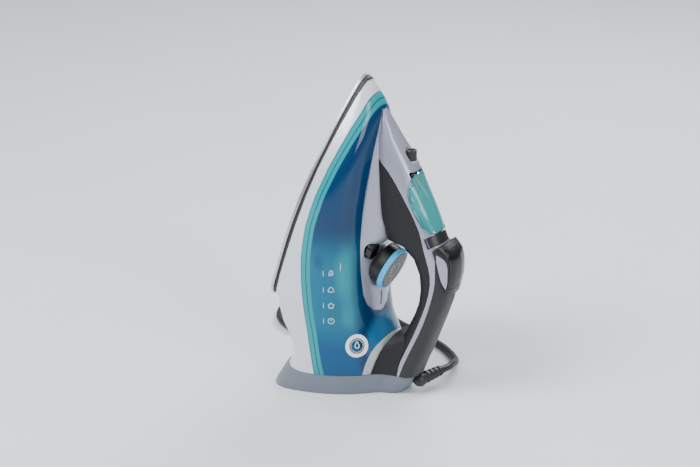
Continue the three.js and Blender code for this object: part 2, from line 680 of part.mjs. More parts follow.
const shaftRoom = solid(rod(onDialAxis(SHAFT_REACH), onDialAxis(-1), SHAFT_RADIUS + SLIDE, 14));
const cleanRodRoom = placed(inward(TANK_FLOOR - 5, cleanAt.y, cleanAt.z, 60, STEM_RADIUS + SLIDE, 10));
const passing = [hoseRoom, neckRoom, needleRoom];

// ---------------------------------------------------------------- screws that hold the heel cover
const screwPlaces = [at3(3, 36, 0), at3(3, -36, 0), at3(26, 0, 0)];
const SCREW_RADIUS = 1.6;
const SCREW_HEAD = 3;
const SCREW_END = 14;
const upright = (place, from, to, radius, sides) =>
  rod(place.clone().setZ(from), place.clone().setZ(to), radius, sides);
const heelBosses = screwPlaces.map((p) => solid(upright(p, HEEL_FLOOR + GAP, HEEL_TOP + 1.4, 4.2, 12)));
const screwBores = screwPlaces.map((p) => solid(upright(p, 0, SCREW_END + 1, SCREW_RADIUS + GAP, 10)));

// ---------------------------------------------------------------- shells of the body
const bodyShell = cut(bodyOuter, bodyInner);
const RIM_WIDTH = 5.5;
const rimSeam = beside(footSeam, RIM_WIDTH);

function skirt() {
  const nose = placed(box(-60, SKIRT_FROM_SOLE, -150, 150, -GAP, SOLE_LENGTH + 60));
  return cut(bodyShell.intersect(farLeft(skirtSeam)).intersect(aboveHeel), nose);
}

function tank() {
  const region = prism([...beside(skirtSeam, GAP / 2), ...beside(rimSeam, GAP / 2), at(130, 76), at(130, 320)]);
  const rearWall = band(rimSeam, GAP / 2, GAP / 2 + WALL);
  const floorWall = band(heelSeam, GAP / 2, GAP / 2 + WALL);
  const walls = join(saddleTub, rearWall, floorWall).intersect(bodyOuter);
  const whole = cut(join(bodyShell, walls), saddleSpace).intersect(region).intersect(aboveHeel);
  return cut(join(whole, ...heelBosses), ...screwBores, ...passing, tubeRoom, cleanRodRoom);
}

function tankRim() {
  const region = prism([...beside(rimSeam, -GAP / 2), ...beside(footSeam, GAP / 2).reverse()]);
  return bodyShell.intersect(region).intersect(aboveHeel);
}

function tankFloor() {
  const slab = placed(box(TANK_FLOOR, TANK_FLOOR + 2, -150, 150, -60, 300));
  const core = bodyForm(WALL + 2 * GAP, BODY_LOW - 1, 242 * sz, 2, 7);
  const valve = placed(inward(SHIELD_TOP, VALVE_SIDE, VALVE_AT, 20, 4.5 + GAP));
  return cut(slab.intersect(core), tubeRoom, valve, hoseRoom, cleanRodRoom);
}

const lensOutline = (grow) => {
  const shape = new THREE.Shape();
  const r = 1.5 + grow;
  shape.absarc(0, 5.5, r, 0, Math.PI);
  shape.absarc(0, -5.5, r, Math.PI, 2 * Math.PI);
  return shape;
};

// A shape drawn in (y, z), reaching from x0 to x1.
function alongX(shape, x0, x1, curveSegments = 6) {
  const geometry = new THREE.ExtrudeGeometry(shape, { depth: x1 - x0, bevelEnabled: false, curveSegments });
  return geometry.applyMatrix4(new THREE.Matrix4().set(0, 0, 1, x0, 1, 0, 0, 0, 0, 1, 0, 0, 0, 0, 0, 1));
}

const lensAt = at3(0, 0, 88.5);
const lensBar = (grow) => solid(alongX(lensOutline(grow), 32 * sx, 44 * sx).translate(0, 0, lensAt.z));

function roundSquare(size, radius) {
  const h = size / 2 - radius;
  const shape = new THREE.Shape();
  shape.absarc(h, h, radius, 0, Math.PI / 2);
  shape.absarc(-h, h, radius, Math.PI / 2, Math.PI);
  shape.absarc(-h, -h, radius, Math.PI, 1.5 * Math.PI);
  shape.absarc(h, -h, radius, 1.5 * Math.PI, 2 * Math.PI);
  return shape;
}
const CLEAN_ROUND = 4.5;
const cleanRoom = placed(alongX(roundSquare(CLEAN_SIZE + 2 * SLIDE, CLEAN_ROUND), CLEAN_LOW - CLEAN_TRAVEL - 2,
  CLEAN_TOP + 10, 4).translate(0, cleanAt.y, cleanAt.z));

function saddleCover() {
  const shell = cut(saddleOuter, saddleForm(WALL, TUB_DEPTH + 3, 0, 2));
  const seat = solid(rod(onDialAxis(DIAL_RING_DEPTH + SLIDE), onDialAxis(-8), DIAL_RADIUS + 2 * SLIDE, 28));
  return cut(shell, ...passing, shaftRoom, cleanRoom, seat, lensBar(GAP));
}

add('skirt', skirt(), pearlWhite);
add('tank_shell', tank(), tankBlue);
add('tank_rim', tankRim(), clear);
add('tank_floor', tankFloor(), tankBlue);
add('saddle_cover', saddleCover(), silverLilac);
add('pilot_lens', lensBar(0).intersect(saddleForm(-0.25, TUB_DEPTH)), turquoise);

// ---------------------------------------------------------------- heel and rear foot
// Height, left end, left corner radius, half width, ridge, squareness, tail half width, tail end.
const heelStations = [
  [0, -54.5, 16, 57, 50, 1.8, 19, 65],
  [5, -52.5, 16, 57.8, 51, 1.8, 19.4, 68.5],
  [11, -49, 16, 58.3, 53, 1.8, 19.6, 73],
  [17, -45.4, 16, 58, 54, 1.8, 19.4, 76.5],
  [24, -41, 16, 57.8, 54.2, 1.8, 19, 79],
  [30, -37.5, 16, 57.8, 54.2, 1.8, 18.8, 81],
];

function tailHalf(x, half, end) {
  const share = THREE.MathUtils.clamp((x - end + 34) / 34, 0, 1);
  return half * (1 - share ** 4) ** (1 / 2.4);
}

function heelRing(height, inset) {
  const h = height / sz;
  const columns = [1, 2, 3, 4, 5, 6, 7].map((column) => through(heelStations, h, column));
  const [left, corner, half, ridge, power, tail, end] = columns;
  const l = left * sx + inset;
  const widest = l + corner;
  const b = half * sy - inset;
  const r = ridge * sx - inset;
  const tip = end * sx - inset;
  const halfRing = [[tip, 0]];
  for (let k = 1; k <= 16; k += 1) {
    const x = widest + (tip - widest) * Math.cos((Math.PI / 2) * (k / 16));
    const share = THREE.MathUtils.clamp((x - widest) / (r - widest), 0, 1);
    const main = x < r ? b * (1 - share ** power) ** (1 / power) : 0;
    const tailAt = x > 20 * sx ? tailHalf(x, tail * sy - inset, tip) : 0;
    halfRing.push([x, (main ** 5 + tailAt ** 5) ** 0.2]);
  }
  for (let k = 1; k <= 3; k += 1) {
    const a = (Math.PI / 2) * (k / 3);
    halfRing.push([widest - corner * Math.sin(a), b - corner * (1 - Math.cos(a))]);
  }
  halfRing.push([l, 0]);
  return ringFrom(halfRing, height);
}

const guardRoom = solid(new THREE.SphereGeometry(GUARD_BALL + SLIDE, 16, 10).translate(...guardAt.toArray()));

function heelCover() {
  const outer = solid(loft([0, 5, 11, 20, 30].map((h) => heelRing(h * sz, 0))));
  const inner = solid(loft([HEEL_FLOOR, 17 * sz, 31 * sz].map((h) => heelRing(h, WALL))));
  const heads = screwPlaces.map((p) => solid(upright(p, -1, 1.6, SCREW_HEAD + GAP, 10)));
  return cut(cut(outer, inner).intersect(belowHeel), guardRoom, ...screwBores, ...heads);
}

function screw(place) {
  const [r, head] = [SCREW_RADIUS, SCREW_HEAD];
  const geometry = turned([[0, 0.3], [head, 0.3], [head, 1.3], [r, 1.3], [r, SCREW_END - 1], [0, SCREW_END]], 10);
  return alongLine(geometry, place, place.clone().add(new THREE.Vector3(0, 0, 1)));
}

// Height, tank end x and half width, handle end x and half width.
const footStations = [
  [12, 30, 35, 62, 18.4],
  [22, 34, 31, 63, 18.4],
  [32, 38, 28, 64.5, 18.2],
  [42, 42, 23.5, 67.5, 18],
  [50, 46, 17.5, 71, 17.8],
  [55, 50, 13, 73, 17.4],
  [59.5, 55, 8.5, 75.5, 16.5],
  [62.5, 60, 4, 76, 13],
];

function footRing(height, inset) {
  const [x0, y0, x1, y1] = [1, 2, 3, 4].map((c) => through(footStations, height / sz, c));
  const halfRing = [[x0 * sx, 0]];
  for (let k = 0; k <= 5; k += 1) {
    const share = k / 5;
    const x = THREE.MathUtils.lerp(x0, x1, share) * sx;
    halfRing.push([x, THREE.MathUtils.lerp(y1, y0, (1 - share) ** 1.5) * sy - inset]);
  }
  halfRing.push([x1 * sx, 0]);
  return ringFrom(halfRing, height);
}

function rearFoot() {
  const levels = footStations.map((row) => row[0] * sz);
  const outer = solid(loft(levels.map((h) => footRing(h, 0))));
  const inner = solid(loft([10, 32, 42, 50, 55, 58].map((h) => footRing(h * sz, WALL))));
  const region = prism([...beside(footSeam, -GAP / 2), at(130, 68), at(130, 5)]);
  const web = band(footSeam, -GAP / 2 - WALL, -GAP / 2).intersect(outer);
  return cut(join(cut(outer, inner), web).intersect(region).intersect(aboveHeel), handleClear, guardRoom);
}

add('heel_cover', heelCover(), heelGrey);
screwPlaces.forEach((place, i) => add(`heel_screw_${i + 1}`, screw(place), steel));
add('rear_foot', rearFoot(), charcoal);

// ---------------------------------------------------------------- shells of the handle
const handleShell = cut(handleOuter, handleInner);
const hoodShell = cut(hoodOuter, hoodInner);
const hoodRoom = prism(beside([...hoodOutline, hoodOutline[0]], GAP).concat([at(98, 152.9)]));
const doorOutline = [...smooth([at(77, 227), at(73.2, 218.5), at(71.3, 207), at(72.4, 197), at(77.5, 186.5),
  at(84, 175.4), at(90, 168.6), at(97, 166.9), at(104, 170.5)], 22), at(125, 176), at(125, 228)];
const doorRoom = prism(beside(doorOutline, -GAP));
const nozzleSocket = nozzleFoot.clone().setZ(nozzleFoot.z - NOZZLE_SUNK);
const socketFloor = nozzleSocket.clone().setZ(nozzleSocket.z - GAP);
const nozzleRoom = join(solid(rod(socketFloor, nozzleTop, NOZZLE_RADIUS + GAP, 16)),
  solid(rod(nozzleFoot, nozzleTop.clone().setZ(nozzleTop.z + 4), NOZZLE_CAP + GAP, 20)));

// Part of a ring about the lever's axis: two radii, two angles in degrees, two heights.
function sector(inner, outer, from, to, low, high) {
  const [a, b] = [THREE.MathUtils.degToRad(from), THREE.MathUtils.degToRad(to)];
  const shape = new THREE.Shape();
  shape.absarc(0, 0, outer, a, b, false);
  shape.absarc(0, 0, inner, b, a, true);
  const curveSegments = Math.ceil((to - from) / 10);
  return new THREE.ExtrudeGeometry(shape, { depth: high - low, bevelEnabled: false, curveSegments })
    .translate(0, 0, low);
}
const LEVER_FROM = -58;
const LEVER_TO = 12;
const LEVER_SWING = 36;
const leverRoom = inLever(sector(14, 34, LEVER_FROM - 8, LEVER_TO + LEVER_SWING + 6,
  -LEVER_WIDTH / 2 - SLIDE, LEVER_WIDTH / 2 + SLIDE));

const buttonLow = 117.5 * sz;
const buttonHigh = 154.4 * sz;
const buttonRoom = solid(box(100 * sx, 130 * sx, -BUTTON_HALF - SLIDE, BUTTON_HALF + SLIDE,
  buttonLow - SLIDE, buttonHigh + SLIDE));

function gripInner() {
  const region = prism([...beside(gripSeam, -GAP / 2), at(0, 5), at(0, 238)]);
  const rooms = [neckRoom, hoseRoom, guardRoom, leverRoom];
  return cut(handleShell.intersect(region).intersect(aboveHeel), bodyClear, saddleClear, ...rooms);
}

function upperCover() {
  const region = prism([...beside(gripSeam, GAP / 2), ...beside(backSeam, -GAP / 2).reverse(), at(130, 176),
    at(130, 300), at(20, 300)]);
  const whole = cut(handleShell.intersect(region).intersect(aboveHeel), bodyClear, saddleClear);
  const hingeRoom = inDoor(rod(new THREE.Vector3(-HINGE_DOWN, -HINGE_HALF, HINGE_UP),
    new THREE.Vector3(-HINGE_DOWN, HINGE_HALF, HINGE_UP), HINGE_ROOM, 14));
  const boss = cut(solid(rod(nozzleBoss, nozzleFoot, NOZZLE_CAP, 20)), handleInner);
  return cut(join(whole, boss), hoodRoom, doorRoom, hingeRoom, nozzleRoom, leverRoom);
}

function gripBack() {
  const region = prism([...beside(backSeam, GAP / 2), at(140, 8), at(140, 150)]);
  return cut(handleShell.intersect(region).intersect(aboveHeel), hoodRoom, buttonRoom, guardRoom);
}

const inlayOutline = smooth([at(101.8, 150.2), at(108.5, 147), at(112, 140), at(112.3, 128), at(111.6, 116.5),
  at(107.6, 124), at(104.6, 134), at(102.4, 143.5)], 24);
const INLAY_FROM = 15.4;

function hood() {
  const inlays = [[-40, -INLAY_FROM + GAP], [INLAY_FROM - GAP, 40]]
    .map(([y0, y1]) => prism(beside([...inlayOutline, inlayOutline[0]], GAP), y0, y1));
  return cut(hoodShell.intersect(prism(hoodOutline)), buttonRoom, ...inlays);
}

function button(side) {
  const [y0, y1] = side < 0 ? [-BUTTON_HALF, -SLIDE / 2] : [SLIDE / 2, BUTTON_HALF];
  const space = solid(box(100 * sx, 130 * sx, y0, y1, buttonLow, buttonHigh));
  const cap = hoodShell.intersect(space).intersect(prism(hoodOutline));
  const from = new THREE.Vector3(PUMP_FRONT - 1.5, side * pumpSide, buttonHeight);
  const to = from.clone().setX(116.4 * sx);
  return join(cap, solid(rod(from, to, STEM_RADIUS, 12)));
}

function pump(side) {
  const profile = [[0, 0], [PUMP_RADIUS, 0], [PUMP_RADIUS, PUMP_LENGTH], [STEM_RADIUS + SLIDE, PUMP_LENGTH],
    [STEM_RADIUS + SLIDE, PUMP_LENGTH - 7], [0, PUMP_LENGTH - 7]];
  const from = new THREE.Vector3(PUMP_FRONT - PUMP_LENGTH, side * pumpSide, buttonHeight);
  return alongLine(turned(profile, 18), from, from.clone().setX(PUMP_FRONT));
}

// A plug in the boss, under a wider cap with a notch in its face for the spray.
function nozzle() {
  const length = nozzleTop.z - nozzleSocket.z;
  const cap = NOZZLE_SUNK + GAP;
  const profile = [[NOZZLE_BORE, 0], [NOZZLE_RADIUS, 0], [NOZZLE_RADIUS, cap], [NOZZLE_CAP, cap],
    [NOZZLE_CAP, length - 0.6], [NOZZLE_CAP - 0.6, length], [NOZZLE_CAP - 1.7, length],
    [NOZZLE_CAP - 2.1, length - 1.2], [NOZZLE_BORE, length - 1.2], [NOZZLE_BORE, 0]];
  return alongLine(turned(profile, 20), nozzleSocket, nozzleTop);
}

add('grip_inner', gripInner(), charcoal);
add('upper_cover', upperCover(), silverLilac);
add('grip_back', gripBack(), softTouch);
add('button_hood', hood(), glossBlack);
for (const [side, word] of [[-1, 'left'], [1, 'right']]) {
  const [y0, y1] = side < 0 ? [-40, -INLAY_FROM] : [INLAY_FROM, 40];
  add(`hood_inlay_${word}`, hoodShell.intersect(prism(inlayOutline, y0, y1)), silverLilac);
}
for (const [side, word] of [[-1, 'spray'], [1, 'steam']]) {
  add(`${word}_button`, button(side), glossBlack);
  add(`${word}_pump`, pump(side), whiteNylon);
  const from = new THREE.Vector3(PUMP_FRONT + GAP, side * pumpSide, buttonHeight);
  add(`${word}_button_spring`, spring(from, from.clone().setX(113 * sx), STEM_RADIUS + 1.4, 4), steel);
}
add('steam_hose', tubeAlong(steamHosePath, HOSE_RADIUS, 14, 6), silicone);
add('spray_hose', tubeAlong(sprayHosePath, HOSE_RADIUS, 16, 6), silicone);
add('spray_nozzle', nozzle(), glossBlack);

function handleFrame() {
  const rib = handleForm(WALL + SLIDE, 12);
  const region = prism([at(60, 52), at(130, 66), at(130, 116), at(60, 116)], -1.5, 1.5);
  return rib.intersect(region);
}
add('handle_frame', handleFrame(), whiteNylon);

// ---------------------------------------------------------------- filling door
function doorBody() {
  const skin = handleShell.intersect(prism(doorOutline));
  const knuckle = inDoor(rod(new THREE.Vector3(-HINGE_DOWN, -3, HINGE_UP),
    new THREE.Vector3(-HINGE_DOWN, 3, HINGE_UP), PIN_RADIUS + 1.4, 12));
  const web = inDoor(box(-HINGE_DOWN, -1.2, -3, 3, HINGE_UP - 2, HINGE_UP + 1));
  const bore = inDoor(rod(new THREE.Vector3(-HINGE_DOWN, -9, HINGE_UP),
    new THREE.Vector3(-HINGE_DOWN, 9, HINGE_UP), PIN_RADIUS + GAP, 12));
  const lugRooms = [[-5.7, -3], [3, 5.7]].map(([y0, y1]) => inDoor(rod(
    new THREE.Vector3(-HINGE_DOWN, y0, HINGE_UP),
    new THREE.Vector3(-HINGE_DOWN, y1, HINGE_UP),
    LUG_RADIUS + SLIDE,
    14,
  )));
  return cut(join(cut(skin, ...lugRooms), knuckle, web), bore);
}

function fillWell() {
  const tray = box(-NECK_FROM, -7.8, -11, 11, -22, 16);
  const hollow = box(-NECK_FROM + 1.6, 0, -9.4, 9.4, -20.4, 14.4);
  const inletFrom = new THREE.Vector3(-30, NECK_SIDE, 0);
  const inlet = rod(inletFrom, inletFrom.clone().setX(0), NECK_RADIUS - 1.6, 18);
  const lugs = [[-5.2, -3.5], [3.5, 5.2]].flatMap(([y0, y1]) => [
    box(-NECK_FROM + 4, -HINGE_DOWN, y0, y1, 14.5, HINGE_UP),
    rod(new THREE.Vector3(-HINGE_DOWN, y0, HINGE_UP), new THREE.Vector3(-HINGE_DOWN, y1, HINGE_UP),
      LUG_RADIUS, 14),
  ]);
  const bore = rod(new THREE.Vector3(-HINGE_DOWN, -9, HINGE_UP), new THREE.Vector3(-HINGE_DOWN, 9, HINGE_UP),
    PIN_RADIUS + GAP, 12);
  return cut(join(solid(tray), ...lugs.map(solid)), solid(hollow), solid(inlet), solid(bore));
}

add('fill_door', doorBody(), turquoise);
add('door_hinge_pin', rod(new THREE.Vector3(-HINGE_DOWN, -6, HINGE_UP),
  new THREE.Vector3(-HINGE_DOWN, 6, HINGE_UP), PIN_RADIUS, 12), steel, door);
add('fill_well', fillWell(), charcoal, door);
add('filling_neck', rod(...neckLine, NECK_RADIUS, 18, NECK_RADIUS - 1.5), whiteNylon, door);

// ---------------------------------------------------------------- steam lever and drip valve
const FLOOR_RADIUS = 16.4;
function steamLever() {
  const low = LEVER_RADIUS - LEVER_THICK;
  const bar = sector(low, LEVER_RADIUS, LEVER_FROM, LEVER_TO, -LEVER_WIDTH / 2, LEVER_WIDTH / 2);
  const tab = sector(low + 1, LEVER_RADIUS + 1.7, LEVER_FROM, LEVER_FROM + 13, -LEVER_WIDTH / 2, LEVER_WIDTH / 2);
  const key = sector(11.5, low + 1, -30, -24, -1.5, 1.5);
  return join(...[bar, tab, key].map(solid));
}

function leverTrack() {
  const plate = sector(FLOOR_RADIUS - 1.8, FLOOR_RADIUS, LEVER_FROM - 6, LEVER_TO + LEVER_SWING + 4,
    -LEVER_WIDTH / 2, LEVER_WIDTH / 2);
  const slot = sector(10, 30, -32, -22 + LEVER_SWING, -1.5 - SLIDE, 1.5 + SLIDE);
  return cut(solid(plate), solid(slot));
}

add('steam_lever', steamLever(), glossBlack, lever);
add('lever_track', leverTrack(), silverLilac, lever);

const VALVE_LOW = CASTING_HIGH + GAP;
const VALVE_TOP = TANK_FLOOR + 10;
function dripValve() {
  const bore = NEEDLE_RADIUS + SLIDE;
  const flange = [SHIELD_TOP + GAP, TANK_FLOOR - GAP];
  const profile = [[bore, 0], [3.6, 0], [3.6, flange[0] - VALVE_LOW], [7, flange[0] - VALVE_LOW],
    [7, flange[1] - VALVE_LOW], [4.5, flange[1] - VALVE_LOW], [4.5, VALVE_TOP - VALVE_LOW],
    [bore, VALVE_TOP - VALVE_LOW], [bore, 0]];
  const from = new THREE.Vector3(VALVE_LOW, VALVE_SIDE, VALVE_AT);
  return alongLine(turned(profile, 16), from, from.clone().setX(VALVE_TOP));
}
add('drip_valve', dripValve(), brass, sole);
add('needle', inward(VALVE_LOW + 4, VALVE_SIDE, VALVE_AT, 72, NEEDLE_RADIUS, 10), steel, sole);

// ---------------------------------------------------------------- thermostat dial
function dialRing() {
  const ribs = 40;
  const ring = (radius, x) => Array.from({ length: 2 * ribs }, (_, k) => {
    const a = (Math.PI * k) / ribs;
    const r = radius - (k % 2) * 0.5;
    return new THREE.Vector3(x, r * Math.cos(a), r * Math.sin(a));
  });
  const body = solid(loft([ring(DIAL_RADIUS, -DIAL_RING_DEPTH), ring(DIAL_RADIUS - 1.4, 0)]));
  const face = solid(inward(-2 - GAP, 0, 0, 10, DIAL_FACE_RADIUS + GAP, 32));
  const bore = solid(inward(-20, 0, 0, 40, SHAFT_RADIUS + GAP, 14));
  return cut(body, face, bore);
}
const BASE_TOP = DIAL_RING_DEPTH + SLIDE;
const saddleAway = solid(geometryOf(saddleClear).applyMatrix4(dial.matrixWorld.clone().invert()));
const dialBase = cut(solid(inward(-BASE_TOP - DIAL_BASE_DEPTH, 0, 0, DIAL_BASE_DEPTH, DIAL_RADIUS, 40)),
  solid(inward(-40, 0, 0, 60, SHAFT_RADIUS + SLIDE, 14)), saddleAway);
add('dial_ring', dialRing(), dialBlue, dial);
add('dial_face', inward(-2, 0, 0, 2.3, DIAL_FACE_RADIUS, 32), dialGrey, dial);
add('dial_base', dialBase, glossBlack, dial);
add('dial_shaft', rod(new THREE.Vector3(-SHAFT_REACH + 0.4, 0, 0), new THREE.Vector3(-2 - 2 * GAP, 0, 0),
  SHAFT_RADIUS, 14), steel, dial);
add('shaft_tube', rod(new THREE.Vector3(-SHAFT_REACH + 4, 0, 0), new THREE.Vector3(-19, 0, 0), TUBE_RADIUS, 14,
  SHAFT_RADIUS + SLIDE), tankBlue, dial);

// ---------------------------------------------------------------- self-clean button
function cleanButton() {
  const cap = solid(alongX(roundSquare(CLEAN_SIZE, CLEAN_ROUND), CLEAN_LOW, CLEAN_TOP, 4)
    .translate(0, cleanAt.y, cleanAt.z));
  const stemLow = TANK_FLOOR + 4;
  const stem = solid(inward(stemLow, cleanAt.y, cleanAt.z, CLEAN_LOW + 1 - stemLow, STEM_RADIUS, 10));
  return join(cap, stem);
}
add('self_clean_button', cleanButton(), glossBlack, sole);
const CLEAN_SPRING = 8.6;
add('self_clean_spring', spring(new THREE.Vector3(CLEAN_LOW - GAP - CLEAN_SPRING, cleanAt.y, cleanAt.z),
  new THREE.Vector3(CLEAN_LOW - GAP, cleanAt.y, cleanAt.z), STEM_RADIUS + 1.4, 4), steel, sole);

// ---------------------------------------------------------------- cord
const guardPoint = (along) => guardAt.clone().addScaledVector(guardAxis, along);
function cordGuard() {
  const profile = [[0, 0]];
  for (let k = 1; k <= 6; k += 1) {
    const a = (Math.PI * k) / 8;
    profile.push([GUARD_BALL * Math.sin(a), GUARD_BALL - GUARD_BALL * Math.cos(a)]);
  }
  const ribs = 4;
  const pitch = (GUARD_LENGTH - GUARD_BALL) / ribs;
  for (let k = 0; k < ribs; k += 1) {
    const from = 2 * GUARD_BALL - 0.5 + k * pitch;
    const r = 6 - 0.32 * k;
    profile.push([r - 1.1, from], [r, from + 1], [r, from + pitch - 1.6], [r - 1.1, from + pitch - 0.6]);
  }
  const end = GUARD_BALL + GUARD_LENGTH;
  profile.push([4.2, end], [0, end]);
  return alongLine(turned(profile, 12), guardPoint(-GUARD_BALL), guardAt.clone().add(guardAxis));
}
add('cord_guard', cordGuard(), cordBlack);

const leadRoute = [at3(69.4, 0, 13), at3(65, 0.8, 12.2), at3(60.5, 4.6, 9.6), at3(57.4, 7.4, 8.2), at3(54.8, 8, 8)];
add('mains_leads', tubeAlong(new THREE.CatmullRomCurve3(leadRoute), 2.2, 8, 8), cordBlack);

// A loop of flex lies neatly coiled behind the iron: a wide layer of turns with a narrower one on it.
const TIE_THICK = 0.8;
const lie = CORD_RADIUS + 0.1;
const lift = TIE_THICK + GAP;
const COIL = { x: -85, y: 104, inner: 25.9, outer: 54.1, low: 0.1 + lift, high: 14.3 };
const coilCentre = new THREE.Vector3(COIL.x, COIL.y, 0);
function coilForm(grow) {
  const [low, high, inner, outer] = [COIL.low - grow, COIL.high + grow, COIL.inner - grow, COIL.outer + grow];
  const shoulder = 2 * CORD_RADIUS;
  const profile = [[inner, low], [outer, low], [outer, low + shoulder], [outer - CORD_RADIUS, high],
    [inner + CORD_RADIUS, high], [inner, low + shoulder], [inner, low]];
  return alongLine(turned(profile, 28), coilCentre, coilCentre.clone().setZ(1));
}
const coilRoom = solid(coilForm(GAP));
// Points of the flex's route from the guard to the coil, and from the coil to the plug, chosen by hand.
const guardEnd = guardPoint(GUARD_LENGTH + GAP);
const cordRoute = [
  guardEnd, guardPoint(GUARD_LENGTH + 10), new THREE.Vector3(87.5, 52, 10.4), new THREE.Vector3(84, 64, 6.6),
  new THREE.Vector3(76.5, 76, 4.2), new THREE.Vector3(65, 87, lie), new THREE.Vector3(50, 97, lie),
  new THREE.Vector3(32, 106, lie), new THREE.Vector3(13, 114, lie), new THREE.Vector3(-7, 122, lie),
  new THREE.Vector3(-27, 132, lie + 0.4), new THREE.Vector3(-46, 144, lie + 0.9),
  new THREE.Vector3(-63, 151.8, lie + 1.1), new THREE.Vector3(-84.6, COIL.y + 50.5, lie + 1.1),
];
const tailRoute = [
  new THREE.Vector3(-51.8, 137.2, 11.2), new THREE.Vector3(-62, 147.4, 11.8), new THREE.Vector3(-71, 156.4, 11.6),
  new THREE.Vector3(-78, 163.4, 9.6), new THREE.Vector3(-85, 170.4, 6.6), new THREE.Vector3(-93, 178.4, 5.6),
  new THREE.Vector3(-96, 181.4, 5.9),
];
const flex = (route, steps) => solid(tubeAlong(new THREE.CatmullRomCurve3(route), CORD_RADIUS, steps, 8));
add('cord', cut(flex(cordRoute, 20), coilRoom), cordBlack);
add('cord_coil', coilForm(0), cordBlack);

function cordTie() {
  const [inner, outer] = [COIL.inner - 2 * GAP - 0.4, COIL.outer + GAP];
  const hoop = (grow, half) => solid(box(COIL.x + inner - grow, COIL.x + outer + grow,
    COIL.y - half, COIL.y + half,
    COIL.low - GAP - grow, COIL.high + GAP + grow));
  return cut(hoop(TIE_THICK, 5), hoop(0, 6));
}
add('cord_tie', cordTie(), cordBlack);

// ---------------------------------------------------------------- plug, local X from its flex to its pins
const PLUG_RADIUS = 18;
const PLUG_LENGTH = 62;
const PIN_HALF = 9.5;            // half the distance between the pins
const plug = new THREE.Group();
plug.position.set(-94.4, 179.8, 5.7);
plug.rotation.order = 'ZYX';
plug.rotation.set(0, -THREE.MathUtils.degToRad(14.4), THREE.MathUtils.degToRad(135));
iron.add(plug);
plug.updateMatrixWorld();

function plugBody() {
  const profile = [[0, 0], [4.4, 0], [6.2, 20], [8.5, 23], [11.5, 26], [12.4, 36], [16.6, 46],
    [PLUG_RADIUS, 50], [PLUG_RADIUS, PLUG_LENGTH - 1], [PLUG_RADIUS - 1, PLUG_LENGTH], [0, PLUG_LENGTH]];
  const body = solid(alongLine(turned(profile, 20), new THREE.Vector3(), new THREE.Vector3(1, 0, 0)));
  const holes = [-1, 1].map((side) => solid(inward(PLUG_LENGTH - 8, side * PIN_HALF, 0, 20, 2.4 + GAP, 10)));
  const earth = [[-24, -16.2], [16.2, 24]].map(([low, high]) => solid(box(48, 80, -3, 3, low, high)));
  return cut(body, ...holes, ...earth);
}
const plugRoom = solid(box(-GAP, 20, -9, 9, -9, 9).applyMatrix4(plug.matrixWorld));
add('cord_tail', cut(flex(tailRoute, 8), coilRoom, plugRoom), cordBlack);
add('plug_body', plugBody(), cordBlack, plug);
for (const [side, word] of [[-1, 'left'], [1, 'right']]) {
  add(`plug_pin_${word}`, inward(PLUG_LENGTH - 7.6, side * PIN_HALF, 0, 26.6, 2.4, 10), steel, plug);
}

// ---------------------------------------------------------------- inside the heel
function terminalBlock() {
  const low = HEEL_FLOOR + GAP;
  const ways = [-8, 0, 8].flatMap((y) => [inward(30, y, 8, 30, 1.8, 8), upright(at3(46, y, 0), 8, 20, 1.5, 8)]);
  return cut(solid(box(38, 54, -12, 12, low, 13)), ...ways.map(solid));
}
function autoOffBoard() {
  const low = HEEL_FLOOR + GAP;
  const board = box(-36, -8, -26, 26, low, low + 1.6);
  const relay = box(-30, -15, -10, 6, low + 1, low + 12);
  const tiltSwitch = upright(at3(-16, 17, 0), low + 1, low + 9, 4, 12);
  return join(...[board, relay, tiltSwitch].map(solid));
}
add('terminal_block', terminalBlock(), whiteNylon);
add('auto_off_board', autoOffBoard(), boardGreen);

export default iron;
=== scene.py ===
# %% [markdown]
# # A steam iron, standing on its heel
#
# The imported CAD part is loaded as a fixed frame, in metres, with +Z up.
# Everything below either gives one of its nodes a real material, or builds a finer piece
# that stands for a node. The iron stands nose up, its soleplate is towards -X,
# its handle is towards +X, and the side seen first is the one towards -Y.

# %% Load the frame
import json
import math

import bpy
from mathutils import Matrix, Vector
from mathutils.geometry import interpolate_bezier


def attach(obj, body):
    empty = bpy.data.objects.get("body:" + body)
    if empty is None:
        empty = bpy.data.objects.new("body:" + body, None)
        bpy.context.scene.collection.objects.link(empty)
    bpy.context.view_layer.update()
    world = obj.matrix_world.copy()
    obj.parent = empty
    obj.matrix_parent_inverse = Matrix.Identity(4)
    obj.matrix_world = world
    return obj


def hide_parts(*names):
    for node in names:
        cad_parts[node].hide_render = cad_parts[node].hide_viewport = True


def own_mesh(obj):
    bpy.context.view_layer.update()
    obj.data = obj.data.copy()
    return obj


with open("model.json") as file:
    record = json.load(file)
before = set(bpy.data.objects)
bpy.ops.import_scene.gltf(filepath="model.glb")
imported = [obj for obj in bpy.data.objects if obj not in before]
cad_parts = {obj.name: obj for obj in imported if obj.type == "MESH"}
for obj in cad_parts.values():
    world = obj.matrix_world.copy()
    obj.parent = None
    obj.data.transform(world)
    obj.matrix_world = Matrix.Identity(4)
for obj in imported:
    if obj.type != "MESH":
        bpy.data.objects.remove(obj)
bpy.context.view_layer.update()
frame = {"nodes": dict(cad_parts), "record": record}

# %% [markdown]
# ## Camera
#
# A camera is a place, a direction and a lens. This one looks down a little at the iron's side
# and handle. The lens is a short telephoto, so that the sides stay nearly parallel.

